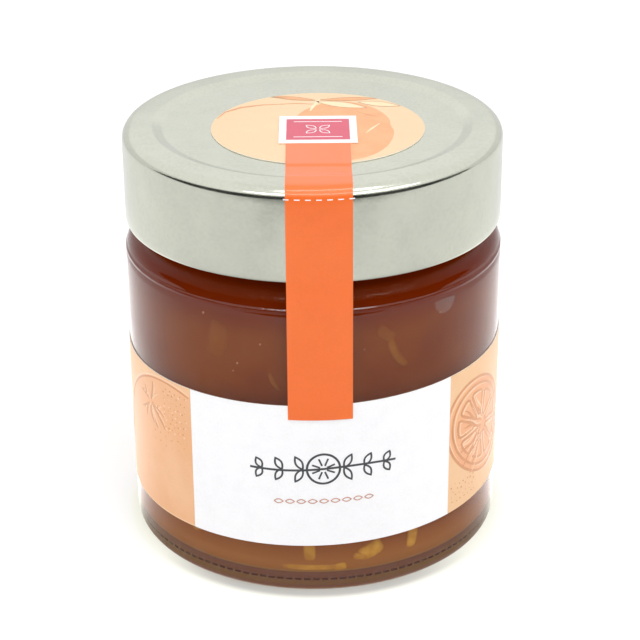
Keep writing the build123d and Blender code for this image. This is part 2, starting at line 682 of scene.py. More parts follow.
@dataclass(frozen=True)
class ClearGlass:
    """Flint glass, which lets lamps and soft light through to what it holds."""

    name: str = "clear_glass"
    ior: float = 1.52
    gleam: float = 1.0
    streak_size: float = 90.0
    streak_stretch: float = 0.12
    tint: Colour = (0.975, 0.985, 0.97)
    clear: Colour = (0.99, 0.992, 0.988)
    shadow: Colour = (0.97, 0.98, 0.97)

    def make(self) -> bpy.types.Material:
        """Builds the material and returns it."""
        material, w, shader, output = new_finish(self.name)
        streaks = w.add("ShaderNodeMapping", {"Vector": w.place(), "Scale": (1.0, 1.0, self.streak_stretch)})
        tone = w.fade(w.noise(self.streak_size, 2.0, at=streaks), 0.35, 0.65)
        w.feed(shader, {
            "Base Color": w.blend(tone, self.tint, self.clear),
            "Roughness": 0.0,
            "IOR": self.ior,
            "Transmission Weight": 1.0,
            "Specular Tint": (self.gleam,) * 3,
        })
        rays = w.add("ShaderNodeLightPath").outputs
        through = w.add("ShaderNodeBsdfTransparent", {"Color": self.shadow})
        for kind in ("Is Shadow Ray", "Is Diffuse Ray"):
            shader = w.add("ShaderNodeMixShader", {0: rays[kind], 1: shader, 2: through})
        w.join(shader, output.inputs["Surface"])
        return material


@dataclass(frozen=True)
class Gel:
    """Amber marmalade: painted shade under the shoulder, cloudy in the body, and a painted glow, strongest at the
    foot of the jar.
    """

    name: str
    # painted shade: the gel's colour under the shoulder, where the lid shades it
    painted_shoulder_shade: Colour = (0.105, 0.0105, 0.0005)
    body: Colour = (0.124, 0.0225, 0.0022)
    warm: Colour = (0.155, 0.035, 0.004)
    # painted light: the gel turns lighter and more orange towards the foot
    foot: Colour = (0.185, 0.066, 0.016)
    cloud_size: float = 75.0
    zest_size: float = 420.0
    shoulder_height: Point = (52.5 * MM, 59.5 * MM)
    foot_height: Point = (15.0 * MM, 6.0 * MM)
    foot_wave: float = 3.0 * MM
    # underside: where the gel's floor is seen through the glass base, its colours and glow are painted light
    under_height: Point = (4.2 * MM, 3.6 * MM)
    under_reach: Point = (16.0 * MM, 21.0 * MM)
    rim_reach: Point = (22.0 * MM, 26.0 * MM)
    glow_height: Point = (12.0 * MM, 9.0 * MM)
    # painted glow: the gel emits its own colour, standing in for light scattered through it, more at the foot
    glow: float = 0.22
    painted_foot_glow: float = 0.56
    painted_under_glow: float = 0.42
    # painted light: colours of the gel's underside, standing in for what shows through the base
    under: Colour = (0.15, 0.056, 0.036)
    rim: Colour = (0.17, 0.085, 0.03)
    peel: Colour | None = None
    peel_second: Colour | None = None

    def make(self) -> bpy.types.Material:
        """Builds the material.

        Returns:
            The material. With peel colours it is peel, which shows through the gel as far as the mesh's
            crown attribute says.
        """
        material, w, shader, _ = new_finish(self.name)
        cloud = drifting(w, self.body, self.warm, self.cloud_size, 0.9)
        across, back, height = w.add("ShaderNodeSeparateXYZ", {0: w.place()}).outputs
        away = w.length(across, back)
        # painted light: the gel's underside, seen through the base, takes its own colours
        underside = w.product(w.fade(height, *self.under_height), w.fade(away, *self.under_reach))
        wavy = w.maths("ADD", height, w.product(w.noise(60.0, 2.0), self.foot_wave))
        # painted light: lighter, more orange gel towards the foot
        colour = w.blend(w.fade(wavy, *self.foot_height), cloud["Colour"], self.foot)
        # painted shade: the gel darkens under the shoulder, in the lid's shade
        colour = w.blend(w.fade(height, *self.shoulder_height), colour, self.painted_shoulder_shade)
        colour = w.blend(underside, colour, w.blend(w.fade(away, *self.rim_reach), self.under, self.rim))
        if self.peel is not None:
            zest = drifting(w, self.peel, self.peel_second, self.zest_size)
            crown = w.add("ShaderNodeAttribute", {}, attribute_name="crown").outputs["Fac"]
            colour = w.blend(crown, colour, zest["Colour"])
        w.feed(shader, {
            "Base Color": colour,
            "Roughness": w.fade(cloud["Mask"], 0.0, 1.0, 0.35, 0.5),
            "Specular IOR Level": 0.0,
        })
        # painted glow: emission of the gel's own colour, most at the foot, less on its underside
        foot_share = w.fade(height, *self.glow_height, self.glow, self.painted_foot_glow)
        painted_glow_share = w.maths("SUBTRACT", foot_share, w.product(underside, self.painted_foot_glow - self.painted_under_glow))
        w.feed(shader, {"Emission Color": w.blend(painted_glow_share, BLACK, colour), "Emission Strength": 1.0})
        return material


@dataclass(frozen=True)
class Tinplate:
    """Satin lacquered tinplate with soft mottling, fine grain and small rubs."""

    name: str = "tinplate"
    metal: Colour = (0.685, 0.70, 0.60)
    second: Colour = (0.66, 0.68, 0.58)
    rub: Colour = (0.09, 0.09, 0.08)
    roughness: Point = (0.14, 0.20)
    mottle_size: float = 90.0
    grain_size: float = 1500.0
    grain_depth: float = 0.012 * MM
    rub_size: float = 95.0
    dent_size: float = 45.0
    dent_depth: float = 0.12 * MM

    def make(self) -> bpy.types.Material:
        """Builds the material and returns it."""
        material, w, shader, _ = new_finish(self.name)
        mottle = drifting(w, self.metal, self.second, self.mottle_size)
        grain = grained(w, mottle["Colour"], self.grain_size, 0.05)
        specks = w.add("ShaderNodeTexVoronoi", {"Vector": w.place(), "Scale": self.rub_size, "Randomness": 1.0})
        pit = w.fade(specks.outputs["Distance"], 0.035, 0.02)
        rare = w.fade(w.noise(35.0, 0.0), 0.6, 0.64)
        dust = w.product(w.product(pit, rare), 0.7)
        w.feed(shader, {"Base Color": w.blend(dust, grain["Colour"], self.rub), "Metallic": 1.0})
        w.feed(shader, {"Roughness": w.fade(w.noise(160.0, 4.0), 0.3, 0.7, *self.roughness)})
        dent = w.bump(w.noise(self.dent_size, 1.0), self.dent_depth, 0.35)
        w.feed(shader, {"Normal": w.bump(grain["Height"], self.grain_depth, under=dent)})
        return material


@dataclass(frozen=True)
class Paper:
    """Printed satin paper with fibre grain and a slight drift of its colour."""

    name: str
    colour: Colour
    second: Colour
    gloss: float = 0.05
    roughness: Point = (0.45, 0.53)
    drift_size: float = 60.0
    depth: float = 0.035
    fibre_size: float = 2600.0
    fibre_depth: float = 0.01 * MM

    def make(self) -> bpy.types.Material:
        """Builds the material and returns it."""
        material, w, shader, _ = new_finish(self.name)
        tone = drifting(w, self.colour, self.second, self.drift_size, 0.8)
        fibre = grained(w, tone["Colour"], self.fibre_size, self.depth)
        w.feed(shader, {
            "Base Color": fibre["Colour"],
            "Roughness": w.fade(tone["Mask"], 0.0, 1.0, *self.roughness),
            "Specular IOR Level": 0.5,
            "Coat Weight": self.gloss,
            "Coat Roughness": 0.15,
            "Normal": w.bump(fibre["Height"], self.fibre_depth),
        })
        return material


@dataclass(frozen=True)
class FloorWhite:
    """Pale floor that is white to the eye, with a painted shadow round the foot of the jar, a glow that stands in
    for light bounced off it, and painted light and shade in its gloss.
    """

    name: str = "studio_floor"
    ground: Colour = (0.50, 0.50, 0.50)
    second: Colour = (0.48, 0.48, 0.48)
    cloud_size: float = 12.0
    white: float = 0.58
    # soft: glow seen by diffuse rays only, painted light that stands in for light bounced off the floor
    soft: float = 0.42
    # painted light and shade in the floor's gloss: dimmer in front of the jar, brighter at its sides, back and near
    # its foot, a little brighter towards -X
    front_side: Point = (0.75, -0.6)
    front_reach: Point = (0.10, 0.20)
    front_shine: Point = (0.0, 0.26)
    lean: Point = (1.04, 0.98)
    back_reach: Point = (0.12, 0.19)
    back_shine: Point = (1.0, 0.40)
    near_reach: Point = (0.045, 0.12)
    near_shine: Point = (3.0, 1.0)
    # painted shadow at the foot of the jar, strongest in front, and its tint
    painted_shadow_side: Point = (-0.5, -0.98)
    painted_shadow_reach: Point = (0.0368, 0.0388)
    painted_shadow_depth: float = 0.46
    shadow_tint_reach: Point = (0.0370, 0.0405)
    tint: Colour = (0.98, 1.0, 0.84)

    def make(self) -> bpy.types.Material:
        """Builds the material and returns it."""
        material, w, shader, output = new_finish(self.name)
        mottle = drifting(w, self.ground, self.second, self.cloud_size)
        w.feed(shader, {"Base Color": mottle["Colour"], "Roughness": 0.8, "Specular IOR Level": 0.0})
        rays = w.add("ShaderNodeLightPath").outputs
        place = w.place()
        across, back, _ = w.add("ShaderNodeSeparateXYZ", {0: place}).outputs
        away = w.add("ShaderNodeVectorMath", {0: place}, operation="LENGTH").outputs["Value"]
        # painted reflection: the floor's brightness in gloss changes with where it lies round the jar
        front = w.fade(w.maths("DIVIDE", back, away), *self.front_side)
        near_front = w.fade(away, *self.front_reach, *self.front_shine)
        lean = w.fade(w.maths("DIVIDE", across, away), -0.9, 0.9, *self.lean)
        far_side = w.product(lean, w.fade(away, *self.back_reach, *self.back_shine))
        near_side = w.product(far_side, w.fade(away, *self.near_reach, *self.near_shine))
        ahead = w.product(front, near_front)
        painted_gloss_light = w.maths("ADD", ahead, w.product(w.maths("SUBTRACT", 1.0, front), near_side))
        # painted shadow: the white that the camera sees dims near the foot of the jar
        facing = w.fade(w.maths("DIVIDE", back, away), *self.painted_shadow_side, 0.08, 1.0)
        painted_shadow = w.fade(away, *self.painted_shadow_reach, self.painted_shadow_depth, 0.0)
        shadowed_white = w.maths("SUBTRACT", self.white, w.product(facing, painted_shadow))
        # painted shadow tint: the floor's glow turns yellower near the jar
        tint = w.blend(w.fade(away, *self.shadow_tint_reach), self.tint, WHITE)
        seen = w.product(rays["Is Camera Ray"], shadowed_white)
        soft = w.product(rays["Is Diffuse Ray"], self.soft)
        mirrored = w.product(rays["Is Glossy Ray"], painted_gloss_light)
        glow = w.maths("ADD", w.maths("ADD", seen, soft), mirrored)
        light = w.add("ShaderNodeEmission", {"Color": tint, "Strength": glow})
        w.join(w.add("ShaderNodeAddShader", {0: shader, 1: light}), output.inputs["Surface"])
        return material


@dataclass(frozen=True)
class Matt:
    """Matt finish of a screen, with a glow of its own if the screen is a light."""

    name: str
    colour: Colour
    gloss: float = 0.0
    glow: float = 0.0

    def make(self) -> bpy.types.Material:
        """Builds the material and returns it."""
        material, w, shader, _ = new_finish(self.name)
        w.feed(shader, {
            "Base Color": self.colour,
            "Roughness": w.fade(w.noise(20.0), 0.3, 0.7, 0.9, 1.0),
            "Specular IOR Level": self.gloss,
            "Emission Color": WHITE,
            "Emission Strength": self.glow,
        })
        return material


class Ink(Enum):
    """Printed tones, each a finish of its own, with the colour that its edges drift to."""

    CHARCOAL = ((0.050, 0.055, 0.062), (0.065, 0.07, 0.075))
    TERRACOTTA = ((0.55, 0.27, 0.19), (0.62, 0.33, 0.24))
    RUST_LINE = ((0.64, 0.27, 0.11), (0.72, 0.34, 0.16))
    PALE_LINE = ((0.92, 0.62, 0.41), (0.90, 0.57, 0.36))
    FRUIT = ((0.79, 0.375, 0.165), (0.82, 0.43, 0.22))
    FRUIT_SHADE = ((0.70, 0.29, 0.13), (0.76, 0.36, 0.18))
    CRIMSON = ((0.62, 0.085, 0.14), (0.66, 0.11, 0.17))
    WHITE = ((0.92, 0.92, 0.93), (0.90, 0.90, 0.91))

    def make(self) -> bpy.types.Material:
        """Builds this ink's paper finish and returns it."""
        return Paper(f"ink_{self.name.lower()}", *self.value, gloss=0.2, depth=0.05, drift_size=300.0).make()


# ---- what repeats


class Growth:
    """A Geometry Nodes tree with named inputs that grows a plain mesh."""

    def __init__(self, name: str, changes: bool = False) -> None:
        """Starts the tree.

        Args:
            name: the tree's name.
            changes: True if the tree changes a mesh that it is given.
        """
        self.tree = bpy.data.node_groups.new(name, "GeometryNodeTree")
        if changes:
            self.tree.interface.new_socket("Body", in_out="INPUT", socket_type="NodeSocketGeometry")
        self.tree.interface.new_socket("Geometry", in_out="OUTPUT", socket_type="NodeSocketGeometry")
        self.given = self.tree.nodes.new("NodeGroupInput")
        self.wiring = Wiring(self.tree)
        self.finish = self.input("Finish", "NodeSocketMaterial")

    def input(self, name: str, kind: str = "NodeSocketFloat", value: object = None) -> bpy.types.NodeSocket:
        """Adds a named input.

        Args:
            name: its name.
            kind: its socket type.
            value: its plain value, if it has one.

        Returns:
            The socket to wire from.
        """
        socket = self.tree.interface.new_socket(name, in_out="INPUT", socket_type=kind)
        if value is not None:
            socket.default_value = value
        return self.given.outputs[name]

    def inputs(self, *names: str) -> list[bpy.types.NodeSocket]:
        """Adds several sizes as named inputs and returns the sockets to wire from."""
        return [self.input(name) for name in names]

    def end(self, geometry: object) -> None:
        """Ends the tree in Realize Instances and Set Material."""
        real = self.wiring.add("GeometryNodeRealizeInstances", {0: geometry})
        painted = self.wiring.add("GeometryNodeSetMaterial", {"Geometry": real, "Material": self.finish})
        self.wiring.add("NodeGroupOutput", {0: painted})

    def grow(
        self, name: str, finish: bpy.types.Material, start: bpy.types.Object | None = None, **values: object
    ) -> bpy.types.Object:
        """Runs the tree and keeps its result as a plain mesh.

        Args:
            name: the result's name.
            finish: the material of what grows.
            start: an object whose mesh the tree changes, or None.
            **values: the named inputs, with _ for a space.

        Returns:
            The object, without a modifier.
        """
        piece = start or linked(name, bpy.data.meshes.new(name))
        modifier = piece.modifiers.new(name, "NODES")
        modifier.node_group = self.tree
        sockets = {s.name: s.identifier for s in self.tree.interface.items_tree if s.in_out == "INPUT"}
        modifier[sockets["Finish"]] = finish
        for key, value in values.items():
            modifier[sockets[key.replace("_", " ")]] = value
        graph = bpy.context.evaluated_depsgraph_get()
        mesh = bpy.data.meshes.new_from_object(piece.evaluated_get(graph))
        piece.modifiers.clear()
        piece.data = mesh
        mesh.name = name
        return piece


def knurl_growth() -> Growth:
    """Presses radial bars into the ring that a jar stands on."""
    growth = Growth("Bearing Knurl", changes=True)
    w = growth.wiring
    body = growth.given.outputs["Body"]
    bars, depth, inner, outer = growth.inputs("Bars", "Depth", "Inner Radius", "Outer Radius")
    split = w.add("ShaderNodeSeparateXYZ", {0: w.add("GeometryNodeInputPosition")}).outputs
    radius = w.length(split[0], split[1])
    turn = w.maths("ARCTAN2", split[1], split[0])
    wave = w.maths("COSINE", w.product(turn, bars))
    notch = w.fade(wave, -0.35, 0.45)
    middle = w.product(w.maths("ADD", inner, outer), 0.5)
    reach = w.product(w.maths("SUBTRACT", outer, inner), 0.5)
    off = w.maths("DIVIDE", w.maths("ABSOLUTE", w.maths("SUBTRACT", radius, middle)), reach)
    ring = w.fade(off, 1.0, 0.7)
    low = w.fade(split[2], 0.6 * MM, 0.0)
    rise = w.product(w.product(notch, ring), w.product(low, depth))
    growth.end(w.add("GeometryNodeSetPosition", {"Geometry": body, "Offset": w.vector(z=rise)}))
    return growth


def shred_growth() -> Growth:
    """Scatters cut peel over a flat field: squared pebbles, each bent and turned its own way."""
    growth = Growth("Peel Shreds")
    w = growth.wiring
    count = growth.input("Count", "NodeSocketInt", 1)
    seed = growth.input("Seed", "NodeSocketInt", 1)
    length, width, thickness, bend, spread = growth.inputs("Length", "Width", "Thickness", "Bend", "Size Spread")
    left, right, low, high, turn_from, turn_to, sink = growth.inputs(
        "Left", "Right", "Low", "High", "Turn From", "Turn To", "Sink"
    )

    ball = w.add("GeometryNodeMeshUVSphere", {"Segments": 20, "Rings": 12, "Radius": 0.5})
    split = w.add("ShaderNodeSeparateXYZ", {0: w.add("GeometryNodeInputPosition")}).outputs
    squared = []
    for axis, power in enumerate((0.5, 0.55, 0.32)):
        doubled = w.product(split[axis], 2.0)
        grown = w.maths("POWER", w.maths("ABSOLUTE", doubled), power)
        squared.append(w.product(w.product(grown, w.maths("SIGN", doubled)), 0.5))
    along = w.product(squared[0], length)
    bow = w.product(w.product(squared[0], squared[0]), bend)
    shape = w.vector(along, w.maths("ADD", w.product(squared[1], width), bow), w.product(squared[2], thickness))
    shred = w.add("GeometryNodeSetPosition", {"Geometry": ball, "Position": shape})

    def chance(least: object, most: object, step: int) -> bpy.types.NodeSocket:
        """A random number for each shred, from its own seed."""
        return w.chance(least, most, w.maths("ADD", seed, float(step)))

    spot = w.vector(chance(left, right, 1), chance(low, high, 2), sink)
    points = w.add("GeometryNodePoints", {"Count": count, "Position": spot})
    turn = w.vector(z=chance(turn_from, turn_to, 3))
    small, large = w.maths("SUBTRACT", 1.0, spread), w.maths("ADD", 1.0, spread)
    scale = w.vector(chance(small, large, 4), chance(small, large, 5), 1.0)
    growth.end(w.copies(points, shred, Rotation=turn, Scale=scale))
    return growth


def wheel_growth() -> Growth:
    """Draws a sliced citrus fruit in lines: a rind ring, a pith ring and rounded segments, at a slant."""
    growth = Growth("Citrus Wheel")
    w = growth.wiring
    segments = growth.input("Segments", "NodeSocketInt", 9)
    radius, stretch, slant, line, ink, start = growth.inputs(
        "Radius", "Stretch", "Slant", "Line Width", "Ink Height", "Turn"
    )

    share = w.maths("DIVIDE", math.tau, segments)
    arc = {"Resolution": 10, "Radius": w.product(radius, 0.70), "Start Angle": w.product(share, -0.5)}
    wedge = w.add("GeometryNodeCurveArc", arc | {"Sweep Angle": share, "Connect Center": True}, mode="RADIUS")
    corners = {"Curve": wedge, "Radius": w.product(radius, 0.055), "Limit Radius": True, "Count": 4}
    soft = w.add("GeometryNodeFilletCurve", corners, mode="POLY")
    inset = w.add("GeometryNodeTransform", {"Geometry": soft, "Scale": (0.86, 0.80, 1.0)})
    w.feed(inset, {"Translation": w.vector(w.product(radius, 0.11))})
    spokes = w.add("GeometryNodePoints", {"Count": segments})
    index = w.add("GeometryNodeInputIndex")
    turn = w.vector(z=w.maths("ADD", w.product(index, share), start))
    loops = [w.add("GeometryNodeRealizeInstances", {0: w.copies(spokes, inset, Rotation=turn)})]
    for part in (1.0, 0.86):
        ring = {"Resolution": 64, "Radius": w.product(radius, part)}
        loops.append(w.add("GeometryNodeCurvePrimitiveCircle", ring, mode="RADIUS"))
    together = w.add("GeometryNodeJoinGeometry")
    for loop in loops:
        w.tree.links.new(loop.outputs[0], together.inputs[0])
    fine = w.add("GeometryNodeResampleCurve", {"Curve": together, "Length": 0.6 * MM}, mode="LENGTH")
    stretched = w.add("GeometryNodeTransform", {"Geometry": fine, "Scale": w.vector(stretch, 1.0, 1.0)})
    tilted = w.add("GeometryNodeTransform", {"Geometry": stretched, "Rotation": w.vector(z=slant)})
    upright = w.add("GeometryNodeSetCurveNormal", {"Curve": tilted}, mode="Z_UP")
    box = {"Width": line, "Height": ink}
    section = w.add("GeometryNodeCurvePrimitiveQuadrilateral", box, mode="RECTANGLE")
    pen = {"Curve": upright, "Profile Curve": section, "Fill Caps": True}
    growth.end(w.add("GeometryNodeCurveToMesh", pen))
    return growth


def dash_growth() -> Growth:
    """Sets flat dashes in a row."""
    growth = Growth("Dash Row")
    w = growth.wiring
    count = growth.input("Count", "NodeSocketInt", 7)
    pitch, length, width, ink = growth.inputs("Pitch", "Length", "Width", "Ink Height")
    index = w.add("GeometryNodeInputIndex")
    middle = w.product(w.maths("SUBTRACT", count, 1.0), 0.5)
    along = w.product(w.maths("SUBTRACT", index, middle), pitch)
    points = w.add("GeometryNodePoints", {"Count": count, "Position": w.vector(along)})
    dash = w.add("GeometryNodeMeshCube", {"Size": w.vector(length, width, ink), "Vertices X": 4})
    growth.end(w.copies(points, dash))
    return growth


def stipple_growth() -> Growth:
    """Scatters small flat dots over a rectangle, as an engraver shades peel."""
    growth = Growth("Peel Stipple")
    w = growth.wiring
    width, height, spacing, dot, ink = growth.inputs("Width", "Height", "Spacing", "Dot", "Ink Height")
    seed = growth.input("Seed", "NodeSocketInt", 1)
    grid = {"Size X": width, "Size Y": height, "Vertices X": 12, "Vertices Y": 12}
    spread = {"Mesh": w.add("GeometryNodeMeshGrid", grid), "Distance Min": spacing, "Density Max": 4e6, "Seed": seed}
    points = w.add("GeometryNodeDistributePointsOnFaces", spread, distribute_method="POISSON")
    pill = w.add("GeometryNodeMeshCylinder", {"Vertices": 6, "Radius": dot, "Depth": ink})
    grown = w.chance(0.5, 1.2, seed)
    growth.end(w.copies(points, pill, Scale=w.vector(grown, w.product(grown, 0.8), 1.0)))
    return growth


# ---- the jar


@dataclass
class GlassJar:
    """Body, shoulder and neck of clear glass."""

    wall: float = 2.4 * MM
    base: float = 3.0 * MM
    crown: float = 0.8 * MM
    punt: float = 1.4 * MM
    bearing: float = 2.6 * MM
    heel: float = 2.4 * MM
    floor_bend: float = 4.0 * MM
    crease_height: float = 57.8 * MM
    crease_bend: float = 2.5 * MM
    crease_tilt: float = 3.0
    lean_tilt: float = 15.0
    lean_height: float = 60.6 * MM
    shoulder_bend: float = 5.0 * MM
    inner_shoulder_start: float = 58.2 * MM
    inner_shoulder_bend: float = 5.0 * MM
    neck_inset: float = 3.3 * MM
    neck_wall: float = 2.3 * MM
    rim_bend: float = 0.6 * MM
    bead_height: float = 59.55 * MM
    bead_rise: float = 0.14 * MM
    bead_half: float = 0.6 * MM
    # painted shade: the shoulder's glass reflects only weakly, standing in for the dark it reflects under the lid
    shoulder_gleam: float = 0.12
    knurl_bars: int = 96
    knurl_depth: float = 0.28 * MM
    knurl_margins: Point = (0.3 * MM, 0.5 * MM)
    segments: int = 384

    def __post_init__(self) -> None:
        """Reads the overall sizes from the frame."""
        low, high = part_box("glass_jar")
        self.radius = (high.x - low.x) / 2
        self.height = high.z
        self.neck_radius = self.radius - self.neck_inset
        self.bore = self.neck_radius - self.neck_wall
        self.cavity = self.radius - self.wall

    def inner_wall(self, reach: float = 0.0, fine_from: float | None = None) -> Outline:
        """Section of the cavity, from its floor's edge up to the top of its shoulder.

        Args:
            reach: how far the section lies inside the glass.
            fine_from: height from which the section has close points, if any.

        Returns:
            The section, to be carried on upwards.
        """
        wall = self.cavity + reach
        bend = self.floor_bend + reach
        edge = wall - bend
        outline = Outline(edge, self.base - reach)
        outline.arc((edge, self.base - reach + bend), bend, -90, 0, 14)
        if fine_from is None:
            outline.line(wall, self.inner_shoulder_start, 12)
        else:
            outline.line(wall, fine_from, 12).line(wall, self.inner_shoulder_start, 30)
        bend = self.inner_shoulder_bend + reach
        centre = self.cavity - self.inner_shoulder_bend
        end = math.degrees(math.acos((self.bore + reach - centre) / bend))
        return outline.arc((centre, self.inner_shoulder_start), bend, 0, end, 14)

    def outer(self) -> list[Point]:
        """Section of the outside, from the axis to the mouth rim."""
        inner_foot = self.radius - self.heel - self.bearing
        outline = Outline(0, self.punt)
        for r in between(0.0, inner_foot, 14)[1:]:
            outline.line(r, self.punt * (1 - (r / inner_foot) ** 2))
        outline.line(self.radius - self.heel, 0, 9)
        outline.arc((self.radius - self.heel, self.heel), self.heel, -90, 0, 16)
        outline.line(self.radius, self.crease_height, 10)
        crease = (self.radius - self.crease_bend, self.crease_height)
        outline.arc(crease, self.crease_bend, 0, self.crease_tilt, 4)
        r, z = outline.points[-1]
        steps = 60
        rise = (self.lean_height - z) / steps
        for i in range(1, steps + 1):
            tilt = math.radians(self.crease_tilt + (self.lean_tilt - self.crease_tilt) * i / steps)
            r -= rise * math.tan(tilt)
            off = min(abs(z + rise * i - self.bead_height) / self.bead_half, 1.0)
            bead = self.bead_rise * (1 + math.cos(math.pi * off)) / 2
            outline.line(r + bead, z + rise * i)
        r, z = outline.points[-1]
        centre = (r - self.shoulder_bend * math.cos(tilt), z - self.shoulder_bend * math.sin(tilt))
        end = math.degrees(math.acos((self.neck_radius - centre[0]) / self.shoulder_bend))
        outline.arc(centre, self.shoulder_bend, self.lean_tilt, end, 20)
        rim = self.rim_bend
        outline.line(self.neck_radius, self.height - rim, 4)
        outline.arc((self.neck_radius - rim, self.height - rim), rim, 0, 90, 6)
        return outline.points

    def inner(self) -> list[Point]:
        """Section of the cavity, from the axis to the mouth rim."""
        outline = self.inner_wall()
        floor_edge = outline.points[0][0]
        floor = [(floor_edge * i / 14, self.base + self.crown * (1 - (i / 14) ** 2)) for i in range(14)]
        rim = self.rim_bend
        outline.line(self.bore, self.height - rim, 4)
        outline.arc((self.bore + rim, self.height - rim), rim, 180, 90, 6)
        return floor + outline.points

    def build(self) -> bpy.types.Object:
        """Turns the glass, presses its knurl and returns the piece."""
        section = self.outer() + self.inner()[::-1]
        blank = turned_piece("glass_body", section, self.segments)
        glass = ClearGlass().make()
        foot = self.radius - self.heel
        body = knurl_growth().grow(
            "glass_body",
            glass,
            start=blank,
            Bars=float(self.knurl_bars),
            Depth=self.knurl_depth,
            Inner_Radius=foot - self.bearing + self.knurl_margins[0],
            Outer_Radius=foot + self.knurl_margins[1],
        )
        # painted shade: the shoulder's faces get glass with weak reflection
        dressed(body, ClearGlass("shoulder_glass", gleam=self.shoulder_gleam).make())
        for face in body.data.polygons:
            middle = face.center
            if middle.z > self.lean_height and math.hypot(middle.x, middle.y) > self.neck_radius - 0.5 * MM:
                face.material_index = 1
        return placed(soften(body), "clear_glass", "glass_jar")


@dataclass(frozen=True)
class Shred:
    """One piece of peel that shows from the front: where it lies and how large it is."""

    azimuth: float
    height: float
    length: float
    width: float
    turn: float
    show: float = 1.0
    bend: float = 0.0


@dataclass(frozen=True)
class Field:
    """Part of the wall where peel or bubbles lie: one in its place, or more by chance."""

    azimuths: Point
    heights: Point
    turns: Point
    count: int = 1
    spread: float = 0.0

    def fill(
        self,
        growth: Growth,
        name: str,
        finish: bpy.types.Material,
        filling: "Marmalade",
        size: tuple[float, float, float],
        seed: int,
        bend: float = 0.0,
    ) -> bpy.types.Object:
        """Grows what lies in the field, still flat.

        Args:
            growth: the tree that scatters shreds.
            name: the result's name.
            finish: its material.
            filling: the marmalade that it lies in.
            size: length, width and thickness of one.
            seed: picks their places and turns.
            bend: how far one bows out.

        Returns:
            The flat mesh.
        """
        left, right = (math.radians(azimuth) * filling.jar.cavity for azimuth in self.azimuths)
        low, high = self.heights
        return growth.grow(
            name, finish, Count=self.count, Seed=seed, Length=size[0], Width=size[1], Thickness=size[2],
            Bend=bend, Size_Spread=self.spread, Left=left, Right=right, Low=low, High=high,
            Turn_From=self.turns[0], Turn_To=self.turns[1], Sink=filling.show - size[2] / 2,
        )


